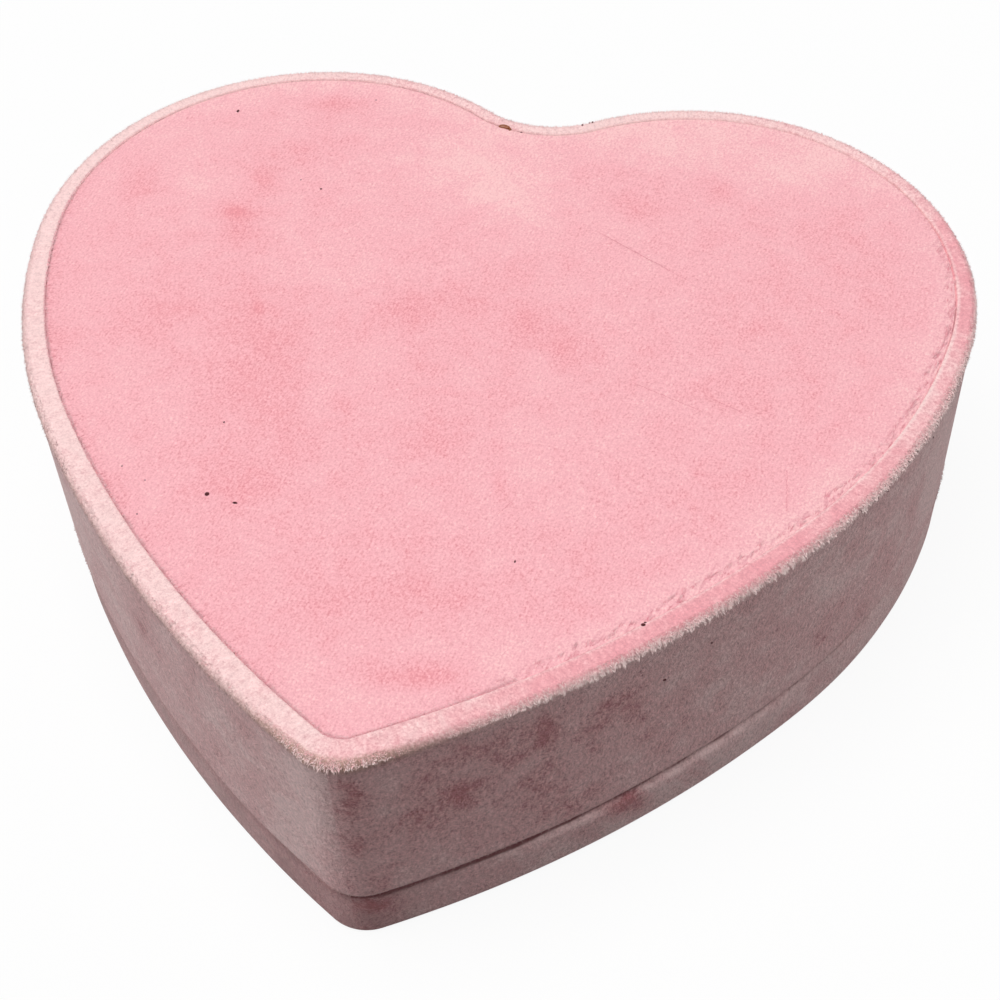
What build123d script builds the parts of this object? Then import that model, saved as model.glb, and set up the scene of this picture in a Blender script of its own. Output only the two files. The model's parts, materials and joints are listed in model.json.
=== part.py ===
from build123d import *
import os
from math import atan2, cos, degrees, radians, sin, sqrt

# A heart-shaped velvet gift box: a deep lid that lifts straight off a shallow base.
# It is a rigid board box. Two bent board strips, one in the lid and one in the base, stand round
# flat heart boards and are covered in velvet. A thinner strip, the neck, is glued inside the base
# and stands up into the lid to guide it. A padded velvet panel fills the top of the lid.
# Lengths are millimetres. +Z is up, +Y runs from the tip to the cleft, and the origin is the
# middle of the footprint, on the surface that the box stands on.
# An inset is a distance inwards from the outline of the lid, level with the surface.

# Outline of the lid, in tangent arcs from the cleft round a lobe to the tip
heart_width = 200.0
cleft_radius = 21.4
lobe_radius = 57.6
lobe_end_angle = -8.6
shoulder_radius = 121.0
shoulder_end_angle = -36.9
flank_radius = 251.0
tip_radius = 9.7

# Heights of the closed box
box_height = 58.0
band_height = 13.9
neck_headroom = 6.3

# Velvet: full pile on a show face, pressed pile where it is glued under or round something
velvet_thickness = 1.5
hem_thickness = 0.6
turn_in_height = 14.0
turn_under_width = 9.0

# Board, paper and padding
wall_board_thickness = 2.0
top_board_thickness = 2.0
floor_board_thickness = 2.0
neck_board_thickness = 1.5
panel_card_thickness = 1.0
panel_wadding_thickness = 1.5
pad_card_thickness = 1.0
pad_foam_thickness = 4.0
lining_thickness = 0.3
bottom_cover_thickness = 0.5
bottom_cover_margin = 4.0

# Stay tape, which closes the joint of each bent strip at the cleft
tape_thickness = 0.15
tape_width = 20.0
lid_tape_headroom = 6.0
base_tape_height = 5.0
strip_joint_gap = 0.2

# Clearances
slide_clearance = 0.3
seam_gap = 0.3
panel_gap = 0.2
panel_recess = 0.25
pad_gap = 0.3
glue_line = 0.1

# Rounding of the velvet over the edges that it covers
rim_outer_radius = 1.8
rim_inner_radius = 0.7
panel_edge_radius = 1.0
seam_edge_radius = 0.8
bottom_edge_radius = 1.2
pad_edge_radius = 1.0
tip_round_share = 0.8

# Insets of the lid's layers, from the outside in
lid_board_inset = velvet_thickness
lid_turn_inset = lid_board_inset + wall_board_thickness
rim_width = lid_turn_inset + hem_thickness
lid_inner_inset = rim_width + lining_thickness
panel_inset = rim_width + panel_gap
panel_core_inset = panel_inset + hem_thickness

# Insets of the base's layers: the base stands back by what the lid needs to slide over the neck
neck_inset = lid_inner_inset + slide_clearance
base_turn_inset = neck_inset - hem_thickness
base_board_inset = base_turn_inset - wall_board_thickness
base_inset = base_board_inset - velvet_thickness
neck_board_inset = neck_inset + lining_thickness
neck_lining_inset = neck_board_inset + neck_board_thickness
well_inset = neck_lining_inset + lining_thickness
pad_inset = well_inset + pad_gap
pad_core_inset = pad_inset + hem_thickness

# Levels of the lid, from its lower edge up and from the panel down
lid_bottom = band_height + seam_gap
lid_board_bottom = lid_bottom + hem_thickness
lid_board_top = box_height - velvet_thickness
turn_in_top = lid_bottom + turn_in_height
panel_top = box_height - panel_recess
wadding_top = panel_top - velvet_thickness
card_top = wadding_top - panel_wadding_thickness
card_bottom = card_top - panel_card_thickness
panel_bottom = card_bottom - hem_thickness
top_board_top = panel_bottom - hem_thickness
top_board_bottom = top_board_top - top_board_thickness
ceiling = top_board_bottom - lining_thickness

# Levels of the base, from the surface up
base_bottom = bottom_cover_thickness
floor_board_bottom = base_bottom + hem_thickness
floor_top = floor_board_bottom + floor_board_thickness
pad_card_bottom = floor_top + hem_thickness
foam_bottom = pad_card_bottom + pad_card_thickness
foam_top = foam_bottom + pad_foam_thickness
pad_top = foam_top + velvet_thickness
band_board_top = band_height - hem_thickness
base_turn_bottom = floor_top + base_tape_height
neck_top = ceiling - neck_headroom


def on_circle(centre, radius, angle):
    """The point of a circle at an angle in degrees, counted from +X."""
    return Vector(centre.X + radius * cos(radians(angle)), centre.Y + radius * sin(radians(angle)))


def direction(start, end):
    """The angle in degrees of the line from one point to another."""
    return degrees(atan2(end.Y - start.Y, end.X - start.X))


def mirrored(point):
    """The same point on the other half of the heart."""
    return Vector(-point.X, point.Y)


def outline_centres():
    """Centres of the right half's arcs, set so that the heart is centred on the origin."""
    lobe = Vector(heart_width / 2 - lobe_radius, 0)
    shoulder = on_circle(lobe, lobe_radius - shoulder_radius, lobe_end_angle)
    flank = on_circle(shoulder, shoulder_radius - flank_radius, shoulder_end_angle)
    cleft = Vector(0, lobe.Y + sqrt((lobe_radius + cleft_radius) ** 2 - lobe.X**2))
    tip = Vector(0, flank.Y - sqrt((flank_radius - tip_radius) ** 2 - flank.X**2))
    middle = Vector(0, (lobe.Y + lobe_radius + tip.Y - tip_radius) / 2)
    return [centre - middle for centre in (cleft, lobe, shoulder, flank, tip)]


CLEFT, LOBE, SHOULDER, FLANK, TIP = outline_centres()


def heart(inset):
    """The closed outline at an inset. Past the tip's radius the two flanks meet in a point."""
    lobe_start_angle = direction(LOBE, CLEFT)
    flank_end_angle = direction(FLANK, TIP)
    lobe_start = on_circle(LOBE, lobe_radius - inset, lobe_start_angle)
    lobe_end = on_circle(LOBE, lobe_radius - inset, lobe_end_angle)
    shoulder_end = on_circle(SHOULDER, shoulder_radius - inset, shoulder_end_angle)
    flank_end = on_circle(FLANK, flank_radius - inset, flank_end_angle)
    if inset >= tip_radius:
        flank_end = Vector(0, FLANK.Y - sqrt((flank_radius - inset) ** 2 - FLANK.X**2))
        flank_end_angle = direction(FLANK, flank_end)
    lobe_middle = on_circle(LOBE, lobe_radius - inset, (lobe_start_angle + lobe_end_angle) / 2)
    shoulder_middle = on_circle(SHOULDER, shoulder_radius - inset, (lobe_end_angle + shoulder_end_angle) / 2)
    flank_middle = on_circle(FLANK, flank_radius - inset, (shoulder_end_angle + flank_end_angle) / 2)
    half = [
        (lobe_start, lobe_middle, lobe_end),
        (lobe_end, shoulder_middle, shoulder_end),
        (shoulder_end, flank_middle, flank_end),
    ]
    arcs = half + [tuple(mirrored(point) for point in arc) for arc in half]
    cleft_bottom = Vector(0, CLEFT.Y - cleft_radius - inset)
    arcs.append((mirrored(lobe_start), cleft_bottom, lobe_start))
    if inset < tip_radius:
        arcs.append((flank_end, Vector(0, TIP.Y - tip_radius + inset), mirrored(flank_end)))
    return Wire([ThreePointArc(*arc) for arc in arcs])


def plate(inset, bottom, top):
    """A flat heart between two levels."""
    face = Pos(0, 0, bottom) * Face(heart(inset))
    return Solid.extrude(face, Vector(0, 0, top - bottom))


def band(outer_inset, inner_inset, bottom, top):
    """A heart-shaped wall between two insets and two levels."""
    face = Pos(0, 0, bottom) * Face(heart(outer_inset), [heart(inner_inset)])
    return Solid.extrude(face, Vector(0, 0, top - bottom))


def joined(first, *others):
    """Several bands of one sheet, fused into the one solid that the sheet is."""
    return first.fuse(*others).clean().solid()


def rim_edges(solid, level, outer=True):
    """The outer or inner edges of the flat face that a solid has at a level."""
    face = solid.faces().filter_by(Axis.Z).sort_by(lambda each: abs(each.center().Z - level))[0]
    return face.outer_wire().edges() if outer else face.inner_wires()[0].edges()


def stay_tape(outer_inset, bottom, top):
    """A strip of tape glued to a wall, across the joint at the cleft."""
    whole = band(outer_inset, outer_inset + tape_thickness, bottom, top)
    reach = Pos(0, heart_width / 2, (bottom + top) / 2) * Box(tape_width, heart_width, top - bottom)
    return whole.intersect(reach).solid()


def rounding(radius, inset):
    """A radius for a top edge at an inset, limited by how sharply the tip turns there."""
    return min(radius, tip_round_share * (tip_radius - inset))


def bent_strip(outer_inset, inner_inset, bottom, top):
    """A board strip bent round the heart, its two ends a joint gap apart at the cleft."""
    joint = Pos(0, heart_width / 2, (bottom + top) / 2) * Box(strip_joint_gap, heart_width, top - bottom)
    return band(outer_inset, inner_inset, bottom, top).cut(joint).solid()


def lid_wall_velvet():
    """Velvet round the lid's wall, over its top edge on to the top board, and in at the lower edge."""
    cloth = joined(
        band(0, lid_board_inset, lid_bottom, box_height),
        band(lid_board_inset, rim_width, lid_board_top, box_height),
        band(lid_turn_inset, rim_width, top_board_top, lid_board_top),
        band(rim_width, rim_width + turn_under_width, top_board_top, panel_bottom),
        band(lid_board_inset, rim_width, lid_bottom, lid_board_bottom),
        band(lid_turn_inset, rim_width, lid_board_bottom, turn_in_top),
    )
    cloth = cloth.fillet(rounding(rim_outer_radius, 0), rim_edges(cloth, box_height))
    cloth = cloth.fillet(rim_inner_radius, rim_edges(cloth, box_height, outer=False))
    return cloth.fillet(rounding(seam_edge_radius, 0), rim_edges(cloth, lid_bottom))


def panel_velvet():
    """Velvet over the padded panel, wrapped round its edge and turned under."""
    cloth = joined(
        plate(panel_inset, wadding_top, panel_top),
        band(panel_inset, panel_core_inset, panel_bottom, wadding_top),
        band(panel_core_inset, panel_core_inset + turn_under_width, panel_bottom, card_bottom),
    )
    return cloth.fillet(rounding(panel_edge_radius, panel_inset), rim_edges(cloth, panel_top))


def base_wall_velvet():
    """Velvet round the base's wall, in over its top edge and turned under the floor board."""
    cloth = joined(
        band(base_inset, base_board_inset, base_bottom, band_height),
        band(base_board_inset, neck_inset, band_board_top, band_height),
        band(base_turn_inset, neck_inset, base_turn_bottom, band_board_top),
        band(base_board_inset, base_board_inset + turn_under_width, base_bottom, floor_board_bottom),
    )
    cloth = cloth.fillet(rounding(seam_edge_radius, base_inset), rim_edges(cloth, band_height))
    return cloth.fillet(rounding(bottom_edge_radius, base_inset), rim_edges(cloth, base_bottom))


def neck_lining():
    """Paper over the neck: outside, over its top edge and down inside to the floor."""
    return joined(
        band(neck_inset, neck_board_inset, base_turn_bottom, neck_top),
        band(neck_board_inset, well_inset, neck_top - lining_thickness, neck_top),
        band(neck_lining_inset, well_inset, floor_top, neck_top - lining_thickness),
    )


def floor_velvet():
    """Velvet over the floor's foam pad, wrapped round its edge and turned under its card."""
    cloth = joined(
        plate(pad_inset, foam_top, pad_top),
        band(pad_inset, pad_core_inset, floor_top, foam_top),
        band(pad_core_inset, pad_core_inset + turn_under_width, floor_top, pad_card_bottom),
    )
    return cloth.fillet(rounding(pad_edge_radius, pad_inset), rim_edges(cloth, pad_top))


def lid_pieces():
    """Everything that lifts off with the lid, by name."""
    return {
        "lid_wall_board": bent_strip(lid_board_inset, lid_turn_inset, lid_board_bottom, lid_board_top),
        "lid_stay_tape": stay_tape(lid_turn_inset + glue_line, turn_in_top, ceiling - lid_tape_headroom),
        "lid_top_board": plate(lid_turn_inset, top_board_bottom, top_board_top),
        "lid_wall_velvet": lid_wall_velvet(),
        "lid_wall_lining": band(rim_width, lid_inner_inset, lid_board_bottom, ceiling),
        "lid_ceiling_lining": plate(lid_turn_inset, ceiling, top_board_bottom),
        "panel_card": plate(panel_core_inset, card_bottom, card_top),
        "panel_wadding": plate(panel_core_inset, card_top, wadding_top),
        "panel_velvet": panel_velvet(),
    }


def base_pieces():
    """Everything that stays on the table, by name."""
    return {
        "bottom_cover": plate(base_inset + bottom_cover_margin, 0, bottom_cover_thickness),
        "base_floor_board": plate(base_turn_inset, floor_board_bottom, floor_top),
        "base_wall_board": bent_strip(base_board_inset, base_turn_inset, floor_board_bottom, band_board_top),
        "base_stay_tape": stay_tape(base_turn_inset + glue_line, floor_top, base_turn_bottom),
        "base_wall_velvet": base_wall_velvet(),
        "neck_board": bent_strip(neck_board_inset, neck_lining_inset, floor_top, neck_top - lining_thickness),
        "neck_stay_tape": stay_tape(
            neck_board_inset - glue_line - tape_thickness, floor_top, base_turn_bottom
        ),
        "neck_lining": neck_lining(),
        "floor_card": plate(pad_core_inset, pad_card_bottom, foam_bottom),
        "floor_foam": plate(pad_core_inset, foam_bottom, foam_top),
        "floor_velvet": floor_velvet(),
    }


os.makedirs("parts", exist_ok=True)
for name, solid in {**lid_pieces(), **base_pieces()}.items():
    export_step(solid, os.path.join("parts", name + ".step"))
    box = solid.bounding_box()
    print(f"{name}: {solid.volume:.0f} mm3, {box.size.X:.1f} x {box.size.Y:.1f} x {box.size.Z:.1f} mm")
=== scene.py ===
# %% [markdown]
# # A heart-shaped velvet gift box
#
# The box is a lift-off one: a deep lid slides down over a neck and rests on a shallow base. Lid and base are
# bent board covered in pale pink velvet, and a padded velvet panel fills the top of the lid. The packed
# model already holds every board, card, paper and tape at its real size. What is left to make here is the
# cloth, and the look of everything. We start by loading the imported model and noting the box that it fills.

# %% The frame
import json
import math

import bpy
import numpy as np
from mathutils import Matrix, Vector


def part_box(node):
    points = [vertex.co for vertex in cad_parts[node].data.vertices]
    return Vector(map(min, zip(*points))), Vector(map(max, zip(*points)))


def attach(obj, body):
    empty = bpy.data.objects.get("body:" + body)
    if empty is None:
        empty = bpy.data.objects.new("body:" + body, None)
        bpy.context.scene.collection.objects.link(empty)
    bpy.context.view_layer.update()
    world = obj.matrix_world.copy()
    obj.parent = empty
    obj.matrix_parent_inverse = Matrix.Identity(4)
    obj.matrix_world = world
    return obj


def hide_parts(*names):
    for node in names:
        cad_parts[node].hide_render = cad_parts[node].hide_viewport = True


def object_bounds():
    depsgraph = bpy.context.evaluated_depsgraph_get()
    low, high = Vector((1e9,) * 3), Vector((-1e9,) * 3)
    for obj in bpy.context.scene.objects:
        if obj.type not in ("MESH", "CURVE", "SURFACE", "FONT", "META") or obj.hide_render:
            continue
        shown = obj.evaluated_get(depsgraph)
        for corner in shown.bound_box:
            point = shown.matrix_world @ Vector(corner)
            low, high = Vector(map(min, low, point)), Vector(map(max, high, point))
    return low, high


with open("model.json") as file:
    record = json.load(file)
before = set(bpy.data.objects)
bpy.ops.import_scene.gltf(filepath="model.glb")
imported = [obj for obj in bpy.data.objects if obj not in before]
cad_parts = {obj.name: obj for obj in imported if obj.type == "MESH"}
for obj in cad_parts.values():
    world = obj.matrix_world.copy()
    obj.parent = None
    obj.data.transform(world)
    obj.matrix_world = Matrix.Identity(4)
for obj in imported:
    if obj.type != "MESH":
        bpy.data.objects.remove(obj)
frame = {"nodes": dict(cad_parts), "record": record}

MM = 0.001
cad_low, cad_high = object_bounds()
print("packed pieces:", len(frame["nodes"]), "box:", tuple(cad_low), tuple(cad_high))

# %% [markdown]
# ## The camera
#
# A camera is a place, a direction and a lens. These were found by turning the heart's outline until
# its top edge, its groove, its seam and its lower edge all fell on the ones in the photograph. The
# photograph looks down at the box from in front and a little to the right. A ray through a pixel
# meets a level surface in one point, so `on_level` puts a mark where the photograph shows it.

# %% Camera
PHOTO_SIZE = 1000
FOCAL_PIXELS = 1854.0
SENSOR_WIDTH = 36.0
NEAR_CLIP = 0.01
AZIMUTH = math.radians(14.33)
ELEVATION = math.radians(48.68)
ROLL = math.radians(-2.62)
DISTANCE = 423.2 * MM
LOOKED_AT = np.array([3.3, 18.9, 0.0]) * MM


def camera_axes():
    """The camera's right, up and backward directions: level axes turned by azimuth, elevation, roll."""
    back = np.array([
        math.sin(AZIMUTH) * math.cos(ELEVATION),
        -math.cos(AZIMUTH) * math.cos(ELEVATION),
        math.sin(ELEVATION),
    ])
    level = np.array([math.cos(AZIMUTH), math.sin(AZIMUTH), 0.0])
    rise = np.cross(back, level)
    right = level * math.cos(ROLL) + rise * math.sin(ROLL)
    up = rise * math.cos(ROLL) - level * math.sin(ROLL)
    return right, up, back


RIGHT, UP, BACK = camera_axes()
EYE = LOOKED_AT + BACK * DISTANCE


def on_level(pixels, height):
    """Where the rays through photograph pixels meet a level: eye + ray * (height - eye.z) / ray.z."""
    offset = (np.asarray(pixels, float) - PHOTO_SIZE / 2) / FOCAL_PIXELS
    rays = offset[..., :1] * RIGHT - offset[..., 1:] * UP - BACK
    return EYE + rays * ((height - EYE[2]) / rays[..., 2:])


def to_pixels(points):
    """Where points fall in the photograph: sideways offset over depth, times the focal length."""
    rays = points - EYE
    offset = np.stack([rays @ RIGHT, -(rays @ UP)], axis=-1)
    return PHOTO_SIZE / 2 - FOCAL_PIXELS * offset / (rays @ BACK)[..., None]


def add(name, data):
    """A new object in the scene, at the origin."""
    made = bpy.data.objects.new(name, data)
    bpy.context.scene.collection.objects.link(made)
    return made


camera_data = bpy.data.cameras.new("camera")
camera_data.sensor_width = SENSOR_WIDTH
camera_data.lens = FOCAL_PIXELS / PHOTO_SIZE * SENSOR_WIDTH
camera_data.clip_start = NEAR_CLIP
camera = add("camera", camera_data)
axes = Matrix(np.column_stack([RIGHT, UP, BACK]).tolist()).to_4x4()
camera.matrix_world = Matrix.Translation(EYE.tolist()) @ axes
bpy.context.scene.camera = camera
print("lens:", round(camera_data.lens, 1), "mm, from", np.round(EYE, 3))

# %% [markdown]
# ## The outline
#
# The heart is a chain of arcs that meet smoothly: a tight one at the tip, a long flat flank, a
# shoulder, a round lobe, and a hollow one in the cleft. One half is sampled from tip to cleft, and the
# other is its mirror image. Each point also gets the direction that leads straight out of the heart,
# because every layer of the box is this same outline, moved inwards by some inset.

# %% Outline of the lid
CLEFT_RADIUS = 21.4 * MM
LOBE_RADIUS = 57.6 * MM
LOBE_END = -8.6
SHOULDER_RADIUS = 121.0 * MM
SHOULDER_END = -36.9
FLANK_RADIUS = 251.0 * MM
TIP_RADIUS = 9.7 * MM
TIP_STEPS, FLANK_STEPS, SHOULDER_STEPS, LOBE_STEPS, CLEFT_STEPS = 20, 140, 90, 200, 34


def unit(degrees):
    """The direction at an angle counted from +X."""
    return np.array([math.cos(math.radians(degrees)), math.sin(math.radians(degrees))])


def heading(start, end):
    """The angle in degrees of the line from one point to another."""
    return math.degrees(math.atan2(end[1] - start[1], end[0] - start[0]))


def arc(centre, radius, start, end, steps, bulge=1):
    """Points centre + radius * (cos a, sin a), a going evenly from start up to end, and the outward
    directions there: the same (cos a, sin a) where the arc bulges, its opposite where it is hollow."""
    angle = np.radians(start + (end - start) * np.arange(steps) / steps)
    ray = np.stack([np.cos(angle), np.sin(angle)], axis=1)
    return centre + radius * ray, bulge * ray


def heart_outline():
    """The closed outline, from the tip up the right half to the cleft and down the left half again."""
    lobe = np.array([(cad_high.x - cad_low.x) / 2 - LOBE_RADIUS, 0.0])
    shoulder = lobe + (LOBE_RADIUS - SHOULDER_RADIUS) * unit(LOBE_END)
    flank = shoulder + (SHOULDER_RADIUS - FLANK_RADIUS) * unit(SHOULDER_END)
    cleft = np.array([0.0, math.sqrt((LOBE_RADIUS + CLEFT_RADIUS) ** 2 - lobe[0] ** 2)])
    tip = np.array([0.0, flank[1] - math.sqrt((FLANK_RADIUS - TIP_RADIUS) ** 2 - flank[0] ** 2)])
    flank_start = heading(flank, tip)
    lobe_start = heading(lobe, cleft)
    half = [
        arc(tip, TIP_RADIUS, -90, flank_start, TIP_STEPS),
        arc(flank, FLANK_RADIUS, flank_start, SHOULDER_END, FLANK_STEPS),
        arc(shoulder, SHOULDER_RADIUS, SHOULDER_END, LOBE_END, SHOULDER_STEPS),
        arc(lobe, LOBE_RADIUS, LOBE_END, lobe_start, LOBE_STEPS),
        arc(cleft, CLEFT_RADIUS, lobe_start - 180, -90, CLEFT_STEPS, bulge=-1),
        arc(cleft, CLEFT_RADIUS, -90, -90, 1, bulge=-1),
    ]
    points, outward = (np.concatenate(each) for each in zip(*half))
    mirror = np.array([-1.0, 1.0])
    points = np.concatenate([points, points[-2:0:-1] * mirror])
    outward = np.concatenate([outward, outward[-2:0:-1] * mirror])
    points[:, 1] -= (points[:, 1].max() + points[:, 1].min()) / 2
    return points, outward


edge, outward = heart_outline()
stretches = np.linalg.norm(np.roll(edge, -1, axis=0) - edge, axis=1)
along = np.concatenate([[0.0], np.cumsum(stretches)[:-1]])
perimeter = float(stretches.sum())
middle = np.array([0.0, 10.0]) * MM
print("outline:", len(edge), "points,", round(perimeter / MM), "mm round")

# %% [markdown]
# ## From a profile to a skin
#
# Seen in section, each cloth is a chain of straight runs with rounded corners: an inset and a level
# for each point. Carried round the outline, the chain becomes a skin. Near the outline an inset goes
# along the outward direction. Far inside, those directions would cross at the tip, so from there on the
# profile moves straight towards the middle of the heart.

# %% Profiles
TUCK_FROM = 8.0 * MM
BEND_STEP = 0.2 * MM


def rounded(rows, closed=False):
    """Straight runs joined by curves, from rows of inset, level, radius and steps. Each corner is a quadratic
    curve that starts and ends one radius from it, and that many steps lie inside the run that follows."""
    rows = np.asarray(rows, float)
    corners, radii, steps = rows[:, :2], rows[:, 2:3], rows[:, 3].astype(int)
    before = np.roll(corners, 1, axis=0) - corners
    after = np.roll(corners, -1, axis=0) - corners
    before /= np.linalg.norm(before, axis=1, keepdims=True)
    after /= np.linalg.norm(after, axis=1, keepdims=True)
    ends = () if closed else (0, len(corners) - 1)
    radii[list(ends)] = 0
    start, end = corners + before * radii, corners + after * radii
    chain = []
    for k, corner in enumerate(corners):
        bend = max(2, 1 + int(np.ceil(radii[k, 0] / BEND_STEP)))
        t = np.linspace(0, 1, bend)[:, None]
        curve = (1 - t) ** 2 * start[k] + 2 * t * (1 - t) * corner + t**2 * end[k]
        chain.append(corner[None] if k in ends else curve)
        if closed or k < len(corners) - 1:
            share = (np.arange(steps[k]) + 1)[:, None] / (steps[k] + 1)
            chain.append(end[k] + (start[(k + 1) % len(corners)] - end[k]) * share)
    return np.concatenate(chain)


def carry(profile):
    """Point (j, i) is outline point i, moved inwards by the inset of profile point j, at its level."""
    inset = np.minimum(profile[:, 0], TUCK_FROM)[:, None, None]
    tuck = np.maximum(profile[:, 0] - TUCK_FROM, 0)[:, None, None]
    flat = edge - inset * outward
    towards = middle - flat
    flat = flat + tuck * towards / np.linalg.norm(towards, axis=2, keepdims=True)
    level = np.broadcast_to(profile[:, 1, None, None], flat.shape[:2] + (1,))
    return np.concatenate([flat, level], axis=2)


def shrink(ring, shares):
    """Rings inside a ring: middle + share * (ring - middle), at the ring's own level."""
    centre = np.append(middle, 0.0)
    flat = (ring - centre) * np.array([1.0, 1.0, 0.0])
    return centre + np.asarray(shares)[:, None, None] * flat + ring * np.array([0.0, 0.0, 1.0])


def run_length(profile):
    """How far along the profile each of its points lies."""
    gaps = np.linalg.norm(np.diff(profile, axis=0), axis=1)
    return np.concatenate([[0.0], np.cumsum(gaps)])


# %% [markdown]
# ## From a grid to a mesh
#
# A skin is a grid of points, closed round the outline. A cloth that goes round a wall is closed in
# section too, like a ring. A cloth over a panel ends in one point at the middle of its face and one
# at the middle of its back. The UV map holds real lengths: the way round the outline, and the way along
# the section, so that a finish can follow the cloth. The sign of the enclosed volume tells whether
# the faces point outwards.

# %% Meshes


def grid_faces(rows, columns, ring):
    """Corner numbers (row, column) of the quads of a grid that closes round its columns, and round its
    rows too if it is a ring. The numbers run on past the last row and column and are wrapped later."""
    j, i = np.meshgrid(np.arange(rows if ring else rows - 1), np.arange(columns), indexing="ij")
    j, i = j.ravel(), i.ravel()
    return np.stack([j, j, j + 1, j + 1], axis=1), np.stack([i, i + 1, i + 1, i], axis=1)


def volume_sign(points, faces):
    """The sign of the volume inside the faces, from the triangles that fan out of the first corners."""
    a, b, c = points[faces[:, 0]], points[faces[:, 1]], points[faces[:, 2]]
    return np.sign(np.einsum("ij,ij->i", a, np.cross(b, c)).sum())


def finish_mesh(name, points, faces, body, uvs=None):
    """A smooth mesh object from points and faces, riding on a body of the box."""
    mesh = bpy.data.meshes.new(name)
    mesh.from_pydata(points.reshape(-1, 3).tolist(), [], faces)
    mesh.polygons.foreach_set("use_smooth", np.ones(len(mesh.polygons), bool))
    if uvs is not None:
        layer = mesh.uv_layers.new(name="cloth")
        layer.data.foreach_set("uv", uvs.astype(np.float32).ravel())
    mesh.update()
    piece = add(name, mesh)
    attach(piece, body)
    print(f"{name}: {len(mesh.vertices)} points, {sum(len(face) - 2 for face in faces)} triangles")
    return piece


def skin(name, grid, lengths, body, ring):
    """The mesh of a grid of points. Where it isn't a ring, a point closes each end of the section."""
    rows, columns = grid.shape[:2]
    points = grid.reshape(-1, 3)
    row, column = grid_faces(rows, columns, ring)
    quads = (row % rows) * columns + column % columns
    lengths = np.append(lengths, lengths[-1] + np.linalg.norm(grid[0, 0] - grid[-1, 0]))
    round_ends = np.append(along, perimeter)
    uvs = np.stack([round_ends[column], lengths[row]], axis=2)
    flip = volume_sign(points, np.concatenate([quads[:, :3], quads[:, [0, 2, 3]]])) < 0
    faces = [quads[:, ::-1] if flip else quads]
    maps = [uvs[:, ::-1] if flip else uvs]
    if not ring:
        i = np.arange(columns)
        for end, turned in ((0, flip), (rows - 1, not flip)):
            pole = len(points)
            points = np.concatenate([points, grid[end].mean(axis=0)[None]])
            fan = np.stack([end * columns + (i + 1) % columns, end * columns + i, np.full(columns, pole)], 1)
            fan_uv = np.stack([round_ends[i + 1], round_ends[i], round_ends[i]], axis=1)
            fan_uv = np.stack([fan_uv, np.full(fan_uv.shape, lengths[end])], axis=2)
            faces.append(fan[:, ::-1] if turned else fan)
            maps.append(fan_uv[:, ::-1] if turned else fan_uv)
    loops = np.concatenate([each.reshape(-1, 2) for each in maps])
    return finish_mesh(name, points, [face for each in faces for face in each.tolist()], body, loops)


def mark(piece, name, values):
    """Store one number for each point of a piece, for its finish to read."""
    numbers = np.zeros(len(piece.data.vertices), np.float32)
    numbers[: values.size] = values.ravel()
    piece.data.attributes.new(name, "FLOAT", "POINT").data.foreach_set("value", numbers)


# %% [markdown]
# ## Layers
#
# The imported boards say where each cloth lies. The wall board's own inset, for instance, is the
# thickness of the velvet outside it. Only the widths that are glued out of sight, and the rounding of the
# folds, are chosen here: cloth folds crisply over a board's edge, and softly where it lies free.

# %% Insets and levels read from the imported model


def inset_of(node):
    """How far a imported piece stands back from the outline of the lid."""
    return cad_high.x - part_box(node)[1].x


def bottom_of(node):
    """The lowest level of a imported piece."""
    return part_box(node)[0].z


def top_of(node):
    """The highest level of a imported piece."""
    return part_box(node)[1].z


TURN_IN = 14.0 * MM
TURN_UNDER = 9.0 * MM
CRISP, SOFT, ROUND = 0.1 * MM, 0.2 * MM, 0.4 * MM
rim_width = inset_of("lid_wall_lining")
box_top = top_of("lid_wall_velvet")
panel_top = top_of("panel_velvet")
print("rim:", round(rim_width / MM, 2), "mm, top:", round(box_top / MM, 2), "mm")

# %% [markdown]
# ## Small irregularities
#
# Glued cloth is never quite true. A sum of a few sine waves with whole numbers of cycles wanders
# smoothly and still closes on itself, so it can be laid round the heart. Over the panel, waves in several
# directions make the faint swell of the padding. All the random numbers come from one seeded source.
# Three small functions say where something starts, or how near it is.

# %% Wandering and swelling
rng = np.random.default_rng(14)
WAVES = 5
WAVE_GAIN = 1.6
FLANK_FROM, FLANK_TO, FLANK_EASE = 30 * MM, 205 * MM, 7 * MM
SWELLS = 9
SWELL_HEIGHT = 0.288 * MM
SWELL_LENGTHS = rng.uniform(18, 60, SWELLS) * MM
SWELL_HEADINGS = rng.uniform(0, np.pi, SWELLS)
SWELL_PHASES = rng.uniform(0, 2 * np.pi, SWELLS)


def rising(value, start, span):
    """0 up to a start, and evenly up to 1 over a span. A negative span runs the other way."""
    return np.clip((value - start) / span, 0, 1)


def hump(value, centre, width):
    """1 at a centre and less to both sides: exp(-((value - centre) / width) ** 2)."""
    return np.exp(-(((value - centre) / width) ** 2))


def soft_step(value, centre, ease):
    """From 0 to 1 about a centre: 1 / (1 + exp((centre - value) / ease)). A negative ease falls."""
    return 1 / (1 + np.exp((centre - value) / ease))


def wander(way, wavelength):
    """Smooth closed wandering of about -1 to 1: the mean of sine waves near a length, random in phase."""
    cycles = np.maximum(1, np.round(perimeter / wavelength * rng.uniform(0.6, 1.5, WAVES)))
    phases = rng.uniform(0, 2 * np.pi, WAVES)
    return WAVE_GAIN * np.sin(2 * np.pi * cycles * way[..., None] / perimeter + phases).mean(axis=-1)


def along_flank(way):
    """1 along the right flank and 0 elsewhere: the product of a rising and a falling soft step."""
    return soft_step(way, FLANK_FROM, FLANK_EASE) * soft_step(way, FLANK_TO, -FLANK_EASE)


def from_tip(way):
    """The way from the tip, whichever side is nearer."""
    return np.minimum(way, perimeter - way)


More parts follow.
